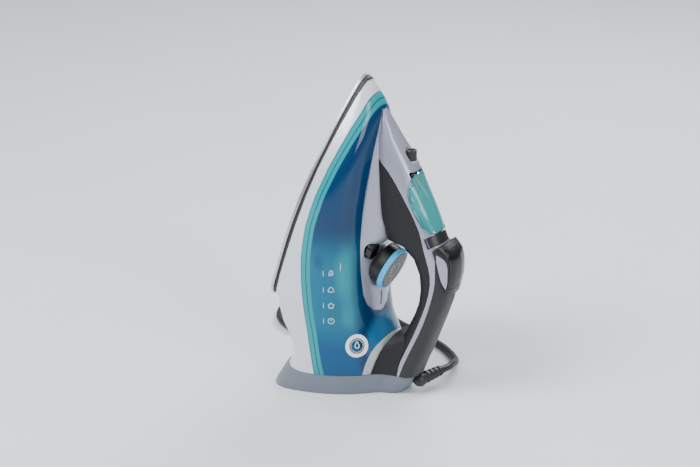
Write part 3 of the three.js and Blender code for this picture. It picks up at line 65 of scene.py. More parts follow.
# %% Camera
VIEW_AROUND = math.radians(30)
VIEW_UP = math.radians(21)
VIEW_DISTANCE = 1.5
LOOKED_AT = Vector((0.002, 0, 0.146))
outward = Vector((math.sin(VIEW_AROUND) * math.cos(VIEW_UP), -math.cos(VIEW_AROUND) * math.cos(VIEW_UP),
                  math.sin(VIEW_UP)))
camera_data = bpy.data.cameras.new("camera")
camera_data.lens = 82.3
camera_data.sensor_width = 36
camera = bpy.data.objects.new("camera", camera_data)
camera.location = LOOKED_AT + VIEW_DISTANCE * outward
camera.rotation_euler = (-outward).to_track_quat("-Z", "Y").to_euler()
bpy.context.collection.objects.link(camera)
bpy.context.scene.camera = camera
print("camera at", [round(c, 3) for c in camera.location])

# %% [markdown]
# ## Small helpers
#
# An operator works on everything that is selected, so each step first clears the selection.
# A finished piece keeps its object at the origin, with its place in its mesh, as the CAD nodes do.

# %% Selecting and finishing a piece
MM = 0.001


def only(piece):
    """Select one object and make it the active one."""
    if bpy.context.object and bpy.context.object.mode != "OBJECT":
        bpy.ops.object.mode_set(mode="OBJECT")
    bpy.ops.object.select_all(action="DESELECT")
    piece.select_set(True)
    bpy.context.view_layer.objects.active = piece
    return piece


def settle(piece, name):
    """Put a new piece's place into its mesh and name it."""
    only(piece)
    bpy.ops.object.transform_apply(location=True, rotation=True, scale=True)
    piece.name = piece.data.name = name
    return piece


def modify(piece, kind, **settings):
    """Add a modifier, set it and apply it."""
    only(piece)
    modifier = piece.modifiers.new(kind.lower(), kind)
    for key, value in settings.items():
        setattr(modifier, key, value)
    bpy.ops.object.modifier_apply(modifier=modifier.name)
    return piece


def smooth(piece, degrees=35):
    only(piece)
    bpy.ops.object.shade_smooth_by_angle(angle=math.radians(degrees))
    return piece


# %% [markdown]
# ## The mains cord
#
# Flex is stiff: it leaves its guard straight, sinks to the table in a long curve, and what is left over
# is wound into a coil, held by a strap. A curve with a round bevel is the natural way to make it,
# because its own line is the cord's length. The loose stretches follow listed points, and a
# loop works out the coil: three and a half turns side by side, and two more lying in their grooves.

# %% The cord's route
CORD_RADIUS = 3.5
GUARD_AT = Vector((78.5, 0, 13))
GUARD_ALONG = Vector((math.cos(1.3), math.sin(1.3), 0))
GUARD_LENGTH = 30.3
COIL_AT = Vector((-85, 104, 0))
LIE = 3.6
LIFT = 1.1

to_coil = [
    GUARD_AT + GUARD_LENGTH * GUARD_ALONG,
    GUARD_AT + (GUARD_LENGTH + 9.7) * GUARD_ALONG,
    (87.5, 52, 10.4), (84, 64, 6.6), (76.5, 76, 4.2), (65, 87, LIE), (50, 97, LIE), (32, 106, LIE),
    (13, 114, LIE), (-7, 122, LIE), (-27, 132, LIE + 0.4), (-46, 144, LIE + 0.9), (-63, 151.8, LIE + LIFT),
]
to_plug = [(-62, 147.4, 11.8), (-71, 156.4, 11.6), (-78, 163.4, 9.6), (-85, 170.4, 6.6), (-93, 178.4, 5.6)]

# %% The coil and the whole centreline
# The first turns jog inwards on the table, one climbs on top, and the rest jog back outwards.
# Angles are in degrees, counted from +X, and lengths in millimetres.
LOW_LAYER = 4.7
HIGH_LAYER = 10.8
TURN_RADII = (50.5, 43.5, 36.5, 29.5, 33, 40, 47)
CLIMBING_JOG = 3
CLIMB = 7.1
JOG_FROM = 290
JOG_OVER = 60
CLIMB_OVER = 120
HUMP = 1.3
COIL_STEP = 15
COIL_FROM = 90
COIL_END = 2205


def ease(share):
    return share * share * (3 - 2 * share)


def coil_point(degrees):
    """Radius and height of the cord after it has turned this far, counted from +X."""
    jog, into = divmod(degrees - JOG_FROM, 360)
    share = min(into / JOG_OVER, 1)
    if jog < 0:
        return TURN_RADII[0], LOW_LAYER
    if jog == CLIMBING_JOG and share < 1:
        under = TURN_RADII[jog - 1] + (TURN_RADII[jog] - TURN_RADII[jog - 1]) * ease(share)
        over = math.radians(180 - CLIMB_OVER * share)
        return under + CLIMB * math.cos(over), LOW_LAYER + CLIMB * math.sin(over)
    radius = TURN_RADII[jog] + (TURN_RADII[jog + 1] - TURN_RADII[jog]) * ease(share)
    if jog < CLIMBING_JOG:
        return radius, LOW_LAYER
    hump = HUMP * math.sin(math.pi * share) if jog > CLIMBING_JOG else 0
    return radius, HIGH_LAYER + hump


route = [Vector(point) for point in to_coil]
for degrees in range(COIL_FROM, COIL_END + 1, COIL_STEP):
    radius, height = coil_point(degrees)
    turned = math.radians(degrees)
    route.append(COIL_AT + Vector((radius * math.cos(turned), radius * math.sin(turned), height)))
route = [point * MM for point in route + [Vector(point) for point in to_plug]]
print(len(route), "points on the cord's route")

# %% [markdown]
# A curve's box isn't known until it is drawn, so the finished cord is turned into a mesh. Its centreline is
# worked out first, with the same steps between points that the curve draws.

# %% The cord itself
STEPS_BETWEEN = 4
line = bpy.data.curves.new("mains_flex", "CURVE")
line.dimensions = "3D"
line.bevel_depth = CORD_RADIUS * MM
line.bevel_resolution = 4
line.resolution_u = STEPS_BETWEEN
line.use_fill_caps = True
spline = line.splines.new("BEZIER")
spline.bezier_points.add(len(route) - 1)
for knot, point in zip(spline.bezier_points, route):
    knot.co = point
    knot.handle_left_type = knot.handle_right_type = "AUTO"
flex = bpy.data.objects.new("mains_flex", line)
bpy.context.collection.objects.link(flex)
bpy.context.view_layer.update()
centreline = [spline.bezier_points[0].co.copy()]
for knot, after in zip(spline.bezier_points[:-1], spline.bezier_points[1:]):
    stretch = interpolate_bezier(knot.co, knot.handle_right, after.handle_left, after.co, STEPS_BETWEEN + 1)
    centreline += stretch[1:]
only(flex)
bpy.ops.object.convert(target="MESH")
flex = bpy.context.object
flex.name = flex.data.name = "mains_flex"
smooth(flex, 60)
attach(flex, "base")
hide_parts("cord", "cord_coil", "cord_tail")

# %% [markdown]
# ## How a finish is put together
#
# Colours are written as the hex values that a designer would note, and turned into the linear numbers
# that shaders work with. One helper adds any node, with its inputs given as numbers or as another
# node's output, so that each finish below reads as a short recipe.

# %% Node helpers
def linear(colour):
    """An sRGB hex colour as the linear numbers that shaders use."""
    parts = [int(colour[i:i + 2], 16) / 255 for i in (1, 3, 5)]
    return [c / 12.92 if c <= 0.04045 else ((c + 0.055) / 1.055) ** 2.4 for c in parts] + [1]


def add(material, kind, inputs=(), **settings):
    """Add a node, with its own settings and what goes into it."""
    tree = material.node_tree
    node = tree.nodes.new("ShaderNode" + kind)
    for key, value in settings.items():
        setattr(node, key, value)
    for key, value in dict(inputs).items():
        if isinstance(value, bpy.types.NodeSocket):
            tree.links.new(value, node.inputs[key])
        else:
            node.inputs[key].default_value = value
    return node


def blank(name):
    """A material with no nodes yet but the place on the object, which all patterns read."""
    material = bpy.data.materials.new(name)
    material.use_nodes = True
    material.node_tree.nodes.clear()
    return material, add(material, "TexCoord").outputs["Object"]


def surface(material, inputs):
    """The surface shader that ends each recipe."""
    shader = add(material, "BsdfPrincipled", inputs)
    add(material, "OutputMaterial", {"Surface": shader.outputs["BSDF"]})
    return material


# %% [markdown]
# ## Moulded plastics
#
# ABS, nylon and their like come out of the mould with its texture on them: a spark-eroded grain a few
# tenths of a millimetre wide, which breaks the gloss. The colour drifts by a shade where the melt flowed.
# The grain is drawn a little coarser than life, so that it shows at arm's length.

# %% Moulded plastic
def moulded(name, colour, shade, roughness, grain=0.35, depth=0.02, **more):
    """Plastic with its mould's grain (mm wide, mm deep), drifting from one colour to the other."""
    material, place = blank(name)
    drift = add(material, "TexNoise", {"Vector": place, "Scale": 30, "Detail": 2})
    tint = add(material, "Mix", {0: drift.outputs["Fac"], 6: linear(colour), 7: linear(shade)},
               data_type="RGBA")
    texture = add(material, "TexNoise", {"Vector": place, "Scale": 1 / (grain * MM), "Detail": 2})
    gloss = add(material, "MapRange", {"Value": texture.outputs["Fac"], "From Min": 0.3, "From Max": 0.7,
                                       "To Min": max(roughness - 0.04, 0.02), "To Max": roughness + 0.05})
    relief = add(material, "Bump", {"Height": texture.outputs["Fac"], "Strength": 1,
                                    "Distance": depth * MM})
    inputs = {"Base Color": tint.outputs[2], "Roughness": gloss.outputs[0],
              "Normal": relief.outputs[0], "IOR": 1.5}
    inputs.update({key.replace("_", " "): value for key, value in more.items()})
    return surface(material, inputs)


heel_abs = moulded("satin grey ABS", "#646d78", "#6c7580", 0.42)
grip_abs = moulded("fine-grained charcoal ABS", "#151619", "#1a1b1e", 0.55, depth=0.03,
                   Specular_IOR_Level=0.35)
soft_coat = moulded("soft-touch coating", "#1c1b1e", "#211f23", 0.62, grain=0.25, Specular_IOR_Level=0.35,
                    Sheen_Weight=0.12, Sheen_Roughness=0.6)
gloss_black = moulded("polished black ABS", "#08080a", "#0c0c0e", 0.16, depth=0.003)
satin_black = moulded("satin black ABS", "#0d0d0f", "#121214", 0.36, depth=0.012)
ring_blue = moulded("light blue ABS", "#3bb0e2", "#48b9e8", 0.36, depth=0.01)
face_grey = moulded("warm grey ABS", "#4c4a48", "#53514e", 0.45)
pilot_teal = moulded("dark teal polycarbonate", "#0f5a70", "#16687f", 0.12, depth=0.003)
shield_pps = moulded("dark glass-filled PPS", "#26282d", "#2e3035", 0.55, grain=0.5)
nylon = moulded("natural nylon", "#e4e2d8", "#dad7cb", 0.45)
silicone = moulded("silicone hose", "#d9d3ca", "#cfc8be", 0.6)
ceramic = moulded("glazed ceramic", "#e8e4da", "#ded9ce", 0.25, depth=0.005)
board_fr4 = moulded("varnished circuit board", "#1f5a35", "#2c6b3f", 0.3, grain=0.6)
flex_pvc = moulded("black PVC sheath", "#141416", "#1b1b1d", 0.42, grain=0.5, depth=0.015)
print("moulded plastics ready")

# %% [markdown]
# ## Lacquers with flakes
#
# The skirt is white plastic under a pearl lacquer, and the cover and saddle are under a silver one.
# Tiny flakes lie flat in the lacquer, and each throws the light its own way, which gives the soft gleam.
# Flakes are about 0.05 mm; a Voronoi pattern draws them at 0.25 mm so that they show at all.

# %% Flake lacquer
def lacquer(name, colour, shade, metallic, roughness, flake=0.25):
    material, place = blank(name)
    flakes = add(material, "TexVoronoi", {"Vector": place, "Scale": 1 / (flake * MM)})
    tilt = add(material, "SeparateColor", {"Color": flakes.outputs["Color"]})
    drift = add(material, "TexNoise", {"Vector": place, "Scale": 18, "Detail": 2})
    cloudy = add(material, "Mix", {0: drift.outputs["Fac"], 6: linear(colour), 7: linear(shade)},
                 data_type="RGBA")
    spark = add(material, "MapRange", {"Value": tilt.outputs[0], "To Min": 0.93, "To Max": 1.07})
    tint = add(material, "VectorMath", {0: cloudy.outputs[2], "Scale": spark.outputs[0]},
               operation="SCALE")
    gloss = add(material, "MapRange", {"Value": tilt.outputs[1], "To Min": roughness - 0.05,
                                       "To Max": roughness + 0.05})
    relief = add(material, "Bump", {"Height": tilt.outputs[2], "Strength": 0.25, "Distance": 0.01 * MM})
    return surface(material, {
        "Base Color": tint.outputs[0], "Metallic": metallic, "Roughness": gloss.outputs[0],
        "Normal": relief.outputs[0], "Coat Weight": 0.5, "Coat Roughness": 0.08})


pearl = lacquer("pearl white lacquer", "#cbd1da", "#d6dbe3", 0.12, 0.34)
silver_lilac = lacquer("silver lilac lacquer", "#9496a8", "#a0a2b3", 0.45, 0.34)
silver_line = lacquer("silver lacquer, masked line", "#9597a6", "#9fa1b0", 0.45, 0.38)
print("lacquers ready")

# %% [markdown]
# ## Metals
#
# The soleplate is ground and anodised, and its fine grinding lines run from heel to nose. The heater is
# a rough die casting. The screws, hinge pin, needle and springs are bright steel, and the plug's pins
# are brass.

# %% Metals
def ground_metal(name, colour, roughness, line, slant, depth):
    """Metal with fine parallel lines: slant turns them about Y, line is their spacing in mm."""
    material, place = blank(name)
    turned = add(material, "Mapping", {"Vector": place, "Rotation": (0, slant, 0),
                                       "Scale": (1 / (line * MM), 1 / (line * MM), 6)})
    lines = add(material, "TexNoise", {"Vector": turned.outputs[0], "Scale": 1, "Detail": 2})
    stain = add(material, "TexNoise", {"Vector": place, "Scale": 22, "Detail": 3})
    tint = add(material, "Mix", {0: stain.outputs["Fac"], 6: linear(colour),
                                 7: [c * 0.88 for c in linear(colour)[:3]] + [1]}, data_type="RGBA")
    gloss = add(material, "MapRange", {"Value": lines.outputs["Fac"], "To Min": roughness - 0.08,
                                       "To Max": roughness + 0.12})
    relief = add(material, "Bump", {"Height": lines.outputs["Fac"], "Strength": 0.5,
                                    "Distance": depth * MM})
    return surface(material, {"Base Color": tint.outputs[2], "Metallic": 1,
                              "Roughness": gloss.outputs[0], "Normal": relief.outputs[0]})


# The sole leans as far as this run forward over this rise, in mm.
SOLE_FORWARD = 70.8
SOLE_RISE = 211.5
SOLE_LEAN = math.atan2(SOLE_FORWARD, SOLE_RISE)
sole_metal = ground_metal("ground anodised aluminium", "#c3c5c8", 0.32, 0.35, -SOLE_LEAN, 0.01)
turned_steel = ground_metal("turned stainless steel", "#bcbec1", 0.25, 0.3, 0, 0.005)
drawn_brass = ground_metal("drawn brass", "#c2a14d", 0.28, 0.3, 0, 0.005)

cast_aluminium, place = blank("die-cast aluminium")
skin = add(cast_aluminium, "TexNoise", {"Vector": place, "Scale": 900, "Detail": 4})
mottle = add(cast_aluminium, "TexNoise", {"Vector": place, "Scale": 60, "Detail": 2})
dull = add(cast_aluminium, "Mix", {0: mottle.outputs["Fac"], 6: linear("#8f9194"), 7: linear("#a6a8aa")},
           data_type="RGBA")
rough_skin = add(cast_aluminium, "Bump", {"Height": skin.outputs["Fac"], "Distance": 0.12 * MM})
surface(cast_aluminium, {"Base Color": dull.outputs[2], "Metallic": 1, "Roughness": 0.58,
                         "Normal": rough_skin.outputs[0]})
print("metals ready")

# %% [markdown]
# ## The water tank
#
# Such a tank is clear SAN tinted from teal to deep blue. A bright lining strip along the skirt, pale parts
# inside and the handle's dark root show through it as soft fields of colour. Light that passes two
# tinted walls is slow to render and noisy, so here the wall is opaque and glossy, with those fields
# painted into it. Two more marks are painted light: a pale grey-blue patch near the heel is a painted
# highlight, the sky's reflection, and a thin dark line at the seam is painted shade of the gap.
# The strip follows the seam, which a Float Curve holds as X over height.

# %% Tank plastic
SEAM = ((8, -4), (52, -9), (80, -13), (104, -15), (126, -15.3), (148, -13.6), (170, -10), (194, -3.5),
        (225, 7.5), (249, 16.6), (273, 26), (288.5, 30.5))
SEAM_TALL = 300
SEAM_LEFT = -20
SEAM_WIDE = 80
tank_san, place = blank("tinted SAN")
axes = add(tank_san, "SeparateXYZ", {"Vector": place})
height = add(tank_san, "MapRange", {"Value": axes.outputs[2], "From Max": SEAM_TALL * MM})
seam = add(tank_san, "FloatCurve", {"Value": height.outputs[0]})
seam_line = seam.mapping.curves[0]
while len(seam_line.points) < len(SEAM):
    seam_line.points.new(0.5, 0.5)
for knot, (up, across) in zip(seam_line.points, SEAM):
    knot.location = (up / SEAM_TALL, (across - SEAM_LEFT) / SEAM_WIDE)
seam.mapping.update()
seam_x = add(tank_san, "MapRange", {"Value": seam.outputs[0], "To Min": SEAM_LEFT * MM,
                                    "To Max": (SEAM_LEFT + SEAM_WIDE) * MM})
beside = add(tank_san, "Math", {0: axes.outputs[0], 1: seam_x.outputs[0]}, operation="SUBTRACT")


def field(value, low, high):
    """A soft step from 0 to 1 as the value runs from low to high, in millimetres."""
    step = add(tank_san, "MapRange", {"Value": value, "From Min": low * MM, "From Max": high * MM},
               interpolation_type="SMOOTHSTEP")
    return step.outputs[0]


def cover(under, colour, mask):
    """Lay a colour over what is there, where the mask is 1."""
    layer = add(tank_san, "Mix", {0: mask, 6: under, 7: linear(colour)}, data_type="RGBA")
    return layer.outputs[2]


def blob(centre, size, sharp, wander=5):
    """A soft-edged spot of colour on the tank wall, used for parts seen inside and for a painted highlight:
    its centre and half sizes in mm.
    """
    bent = add(tank_san, "VectorMath", {0: wobble.outputs["Color"], 1: (0.5, 0.5, 0.5)},
               operation="SUBTRACT")
    pushed = add(tank_san, "VectorMath", {0: bent.outputs[0], 1: (wander * MM,) * 3, 2: place},
                 operation="MULTIPLY_ADD")
    moved = add(tank_san, "Mapping", {"Vector": pushed.outputs[0], "Location": [c * MM for c in centre],
                                      "Scale": [s * MM for s in size]}, vector_type="TEXTURE")
    away = add(tank_san, "VectorMath", {0: moved.outputs[0]}, operation="LENGTH")
    spot = add(tank_san, "MapRange", {"Value": away.outputs["Value"], "From Min": 1, "From Max": sharp},
               interpolation_type="SMOOTHSTEP")
    return spot.outputs[0]


# %% Fields of colour, from the whole wall down to single spots
wobble = add(tank_san, "TexNoise", {"Vector": place, "Scale": 26, "Detail": 1})
tank_colour = linear("#036583")
tank_colour = cover(tank_colour, "#013359", field(axes.outputs[2], 132, 172))
tank_colour = cover(tank_colour, "#024a75", field(axes.outputs[2], 78, 48))
tank_colour = cover(tank_colour, "#048c9a", blob((22, 0, 122), (12, 90, 44), 0.35))
tank_colour = cover(tank_colour, "#047f90", blob((24, 0, 84), (8, 90, 22), 0.4))
tank_colour = cover(tank_colour, "#023c66", blob((2, 0, 138), (9, 90, 16), 0.4))
tank_colour = cover(tank_colour, "#012d52", field(beside.outputs[0], 38, 46))
# Painted highlight: a pale grey-blue patch on the top near the heel, standing for the sky reflected in the
# glossy wall.
tank_colour = cover(tank_colour, "#1d5c85", blob((46, 0, 58), (14, 60, 34), 0.6, 2))

# %% Stripes along the seam, each edge as a distance from the seam in mm
SEAM_GAP_PAINTED_SHADE = (1.0, 0.4)
NOTCH_INNER = (4.4, 4.9)
NOTCH_OUTER = (5.9, 5.3)
STRIPE_EDGE = (9.6, 8.4)
bright = field(beside.outputs[0], *STRIPE_EDGE)
tank_colour = cover(tank_colour, "#128f99", bright)
notch_in = field(beside.outputs[0], *NOTCH_INNER)
notch_out = field(beside.outputs[0], *NOTCH_OUTER)
notch = add(tank_san, "Math", {0: notch_in, 1: notch_out}, operation="MULTIPLY")
tank_colour = cover(tank_colour, "#06525f", notch.outputs[0])
# Painted shade: a thin dark line right at the seam, for the shadow in the gap between skirt and tank.
tank_colour = cover(tank_colour, "#0b5a69", field(beside.outputs[0], *SEAM_GAP_PAINTED_SHADE))
surface(tank_san, {"Base Color": tank_colour, "Roughness": 0.07, "IOR": 1.5,
                   "Specular IOR Level": 0.35})

# %% Clear and see-through plastics
def clear_plastic(name, colour, shade, through, roughness):
    """A see-through moulding: it lets this share of the light through, and flows show as faint streaks."""
    material, place = blank(name)
    streaks = add(material, "TexNoise", {"Vector": place, "Scale": 45, "Detail": 1})
    tint = add(material, "Mix", {0: streaks.outputs["Fac"], 6: linear(colour), 7: linear(shade)},
               data_type="RGBA")
    gloss = add(material, "MapRange", {"Value": streaks.outputs["Fac"], "To Min": roughness,
                                       "To Max": roughness + 0.05})
    return surface(material, {"Base Color": tint.outputs[2], "Roughness": gloss.outputs[0],
                              "IOR": 1.58, "Transmission Weight": through})


door_clear = clear_plastic("turquoise tinted polycarbonate", "#2fb4b8", "#48c2c2", 0.5, 0.05)
door_edge = clear_plastic("turquoise polycarbonate, seen edge on", "#0c6470", "#0f7480", 0, 0.08)
rim_clear = clear_plastic("clear polycarbonate", "#dfe6e8", "#cfd9dc", 0.45, 0.04)
well_clear = clear_plastic("milky polypropylene", "#c9cdc4", "#bcc3bb", 0.1, 0.3)
print("tank and clear plastics ready")

# %% [markdown]
# ## Dressing the CAD nodes
#
# Nodes whose shape is already right only need their real material. The mouldings that the eye lands on
# are finished more: a copy of the node is merged, its edges get the small round that a mould leaves,
# and its curves are shaded smooth, while a weighted normal keeps the flats flat.

# %% What each node is made of
FINISHES = {
    "soleplate": sole_metal, "heater_casting": cast_aluminium, "heating_element": turned_steel,
    "steam_chamber_cover": turned_steel, "heat_shield": shield_pps, "thermostat": ceramic,
    "thermal_fuse": ceramic, "drip_valve": nylon, "needle": turned_steel,
    "self_clean_button": gloss_black, "self_clean_spring": turned_steel, "dial_ring": ring_blue,
    "dial_face": face_grey, "dial_base": satin_black, "dial_shaft": nylon, "shaft_tube": nylon,
    "door_hinge_pin": turned_steel, "fill_well": well_clear, "filling_neck": well_clear,
    "steam_lever": satin_black, "lever_track": silver_lilac, "skirt": pearl, "tank_shell": tank_san,
    "tank_rim": rim_clear, "tank_floor": tank_san, "saddle_cover": silver_lilac,
    "pilot_lens": pilot_teal, "heel_cover": heel_abs, "heel_screw_1": turned_steel,
    "heel_screw_2": turned_steel, "heel_screw_3": turned_steel, "rear_foot": grip_abs,
    "grip_inner": grip_abs, "upper_cover": silver_lilac, "grip_back": soft_coat,
    "button_hood": satin_black, "hood_inlay_left": silver_line, "hood_inlay_right": silver_line,
    "spray_button": gloss_black, "spray_pump": nylon, "spray_button_spring": turned_steel,
    "steam_button": gloss_black, "steam_pump": nylon, "steam_button_spring": turned_steel,
    "steam_hose": silicone, "spray_hose": silicone, "spray_nozzle": satin_black,
    "handle_frame": turned_steel, "fill_door": door_clear, "cord_guard": flex_pvc,
    "mains_leads": flex_pvc, "cord_tie": satin_black, "plug_body": flex_pvc,
    "plug_pin_left": drawn_brass, "plug_pin_right": drawn_brass, "terminal_block": nylon,
    "auto_off_board": board_fr4,
}
for node, material in FINISHES.items():
    slots = frame["nodes"][node].data.materials
    slots.clear()
    slots.append(material)
flex.data.materials.append(flex_pvc)
print(len(FINISHES), "nodes dressed")

# %% Finishing a moulding
BODY_OF = {node: body for body, nodes in frame["record"]["behaviour"]["bodies"].items() for node in nodes}


def finer(node, edge=0.35, angle=40, flat=30):
    """A finished copy of a node, with rounded edges, that stands for it."""
    source = frame["nodes"][node]
    piece = bpy.data.objects.new(f"{node}_moulding", source.data.copy())
    piece.data.transform(source.matrix_world)
    bpy.context.collection.objects.link(piece)
    only(piece)
    bpy.ops.object.mode_set(mode="EDIT")
    bpy.ops.mesh.select_all(action="SELECT")
    bpy.ops.mesh.remove_doubles(threshold=0.00001)
    bpy.ops.mesh.dissolve_limited(angle_limit=math.radians(1))
    bpy.ops.object.mode_set(mode="OBJECT")
    if edge:
        modify(piece, "BEVEL", width=edge * MM, segments=2, limit_method="ANGLE",
               angle_limit=math.radians(angle), use_clamp_overlap=True, harden_normals=False)
    smooth(piece, flat)
    modify(piece, "WEIGHTED_NORMAL", keep_sharp=True)
    piece.data.name = piece.name
    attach(piece, BODY_OF[node])
    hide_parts(node)
    return piece


# %% The mouldings that show
SHOWN = ("soleplate", "heat_shield", "skirt", "tank_shell", "tank_rim", "saddle_cover", "pilot_lens",
         "heel_cover", "rear_foot", "grip_inner", "upper_cover", "grip_back", "button_hood",
         "hood_inlay_left", "hood_inlay_right", "spray_button", "steam_button", "spray_nozzle",
         "fill_door", "fill_well", "dial_face", "dial_base", "self_clean_button",
         "steam_lever", "lever_track", "cord_guard", "plug_body", "plug_pin_left", "plug_pin_right")
mouldings = {node: finer(node) for node in SHOWN}
for node, piece in mouldings.items():
    print(node, len(piece.data.polygons), "faces")

# %% [markdown]
# ## Springs under the buttons
#
# A spring shortens when its button goes in, which no rigid piece can do. Each spring here gets a
# finished copy with a mesh of its own, and the reach of its points along its own axis is worked out.

# %% Springs under the buttons
INTO_SOLE = Vector((0.948279, 0, -0.317438))
SPRINGS = (
    ("spray_button_spring", "spray_button_press", Vector((1, 0, 0)), 2.5),
    ("steam_button_spring", "steam_button_press", Vector((1, 0, 0)), 2.5),
    ("self_clean_spring", "self_clean_press", INTO_SOLE, 3),
)
for node, joint, outwards, travel in SPRINGS:
    spring = finer(node, edge=0)
    reach = [vertex.co.dot(outwards) for vertex in spring.data.vertices]
    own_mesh(spring)

# %% [markdown]
# ## The filling door's edge
#
# The door is a clear curved plate. Where its border turns down, the eye looks along the plastic instead
# of through it, and the tint gathers into a dark line. The outer face is inset once, and the border that
# this leaves takes the darker finish.

# %% Door border
DOOR_LEAN = 0.447
BORDER = 1.1
FACES_OUT = 0.55
along_door = Vector((-math.sin(DOOR_LEAN), 0, math.cos(DOOR_LEAN)))
door_core = Vector((54, 0, 195)) * MM
door = mouldings["fill_door"]
door.data.materials.append(door_edge)
only(door)
for face in door.data.polygons:
    from_core = face.center - door_core
    from_core -= from_core.dot(along_door) * along_door
    face.select = face.normal.dot(from_core.normalized()) > FACES_OUT
bpy.ops.object.mode_set(mode="EDIT")
bpy.ops.mesh.select_mode(type="FACE")
bpy.ops.mesh.inset(thickness=BORDER * MM, use_boundary=True)
bpy.ops.mesh.select_all(action="INVERT")
bpy.ops.object.mode_set(mode="OBJECT")
bordered = 0
for face in door.data.polygons:
    if face.select:
        face.material_index = 1
        bordered += 1
print(bordered, "faces in the door's dark border")

# %% [markdown]
# ## Dial ring
#
# Fingers turn the dial by its ring, so its rim is cut into fine ribs. A cylinder with four points to a
# rib is the start: every second pair is drawn in, the front is inset, and the inner face is pushed back
# to make the seat for the grey face.

# %% Ribbed ring
RIBS = 60
RIB_DEPTH = 0.85
RING_RADIUS = 21.3
RING_DEPTH = 5
SEAT_RADIUS = 18.3
SEAT_DEPTH = 2.3
DIAL_AT = Vector((49.6, 0, 119)) * MM
DIAL_AXIS = Vector((0.920505, 0, -0.390731))
bpy.ops.object.select_all(action="DESELECT")
bpy.ops.mesh.primitive_cylinder_add(
    vertices=4 * RIBS, radius=RING_RADIUS * MM, depth=RING_DEPTH * MM,
    location=DIAL_AT - DIAL_AXIS * RING_DEPTH / 2 * MM, rotation=DIAL_AXIS.to_track_quat("Z", "Y").to_euler())
ring = bpy.context.object
for vertex in ring.data.vertices:
    if vertex.index // 2 % 4 >= 2:
        vertex.co.xy *= 1 - RIB_DEPTH / RING_RADIUS
front = max(ring.data.polygons, key=lambda face: face.center.z)
for face in ring.data.polygons:
    face.select = face.index == front.index
bpy.ops.object.mode_set(mode="EDIT")
bpy.ops.mesh.select_mode(type="FACE")
bpy.ops.mesh.inset(thickness=2 * MM)
bpy.ops.object.mode_set(mode="OBJECT")
for face in ring.data.polygons:
    if face.select:
        for index in face.vertices:
            vertex = ring.data.vertices[index]
            vertex.co.xy *= SEAT_RADIUS * MM / vertex.co.xy.length
bpy.ops.object.mode_set(mode="EDIT")
bpy.ops.mesh.extrude_region_move(
    TRANSFORM_OT_translate={"value": -DIAL_AXIS * SEAT_DEPTH * MM, "orient_type": "GLOBAL"})
bpy.ops.object.mode_set(mode="OBJECT")
settle(ring, "dial_ribbed_ring")
modify(ring, "BEVEL", width=0.12 * MM, segments=1, limit_method="ANGLE", angle_limit=math.radians(60))
smooth(ring, 30)
ring.data.materials.append(ring_blue)
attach(ring, "dial")
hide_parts("dial_ring")
print(ring.name, len(ring.data.polygons), "faces")

# %% [markdown]
# ## Printed marks
#
# A few marks are printed on the finished mouldings: four mode symbols with a dash beside each, the
# fill line, a round badge, heat dots on the dial and a fan of dots on the steam button. Ink has a
# thickness, so each mark is a thin plate: a circle whose points are drawn to an outline, inset to a
# line, projected onto the moulding, and given a tenth of a millimetre. All of them are plain signs.

# %% Printing a mark
white_ink = moulded("screen-printed white ink", "#e6ebee", "#dbe2e6", 0.5, depth=0.004)
silver_ink = moulded("silver printing ink", "#b4ab95", "#a59d8a", 0.35, depth=0.004, Metallic=0.7)
INK = 0.1
CLEAR_OF_WALL = 0.14
CORNERS = 48


def stamp(target, at, outward, outline, line=None, turn=0):
    """Print a closed shape: outline gives its radius in mm at an angle, line its stroke, None fills it."""
    across = Vector((0, 0, 1)).cross(outward).normalized()
    place = Matrix((across, outward.cross(across), outward)).transposed().to_4x4()
    place.translation = at + 3 * MM * outward
    bpy.ops.object.select_all(action="DESELECT")
    bpy.ops.mesh.primitive_circle_add(vertices=CORNERS, radius=1, fill_type="NGON")
    mark = bpy.context.object
    for vertex in mark.data.vertices:
        angle = math.atan2(vertex.co.y, vertex.co.x)
        turned = angle + math.radians(turn)
        vertex.co = outline(angle) * MM * Vector((math.cos(turned), math.sin(turned), 0))
    mark.matrix_world = place
    if line:
        bpy.ops.object.mode_set(mode="EDIT")
        bpy.ops.mesh.select_all(action="SELECT")
        bpy.ops.mesh.inset(thickness=line * MM)
        bpy.ops.mesh.delete(type="FACE")
        bpy.ops.object.mode_set(mode="OBJECT")
    modify(mark, "SHRINKWRAP", target=target, wrap_method="PROJECT", use_project_z=True,
           use_negative_direction=True, use_positive_direction=False, offset=CLEAR_OF_WALL * MM)
    modify(mark, "SOLIDIFY", thickness=INK * MM, offset=1)
    return mark


def printed(name, marks, body, ink):
    """Join marks into one piece that rides on a body."""
    only(marks[0])
    for mark in marks:
        mark.select_set(True)
    bpy.ops.object.join()
    piece = settle(marks[0], name)
    piece.data.materials.clear()
    piece.data.materials.append(ink)
    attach(piece, body)
    print(name, len(piece.data.polygons), "faces")


def circle(radius):
    return lambda angle: radius


def drop(radius):
    return lambda angle: radius * (1 + 0.75 * max(math.sin(angle), 0) ** 8)


def bar(half_wide, half_tall):
    return lambda angle: min(half_wide / max(abs(math.cos(angle)), 1e-6),
                             half_tall / max(abs(math.sin(angle)), 1e-6))


def petals(radius, count, depth):
    return lambda angle: radius + depth * math.cos(count * (angle - math.pi / 2))


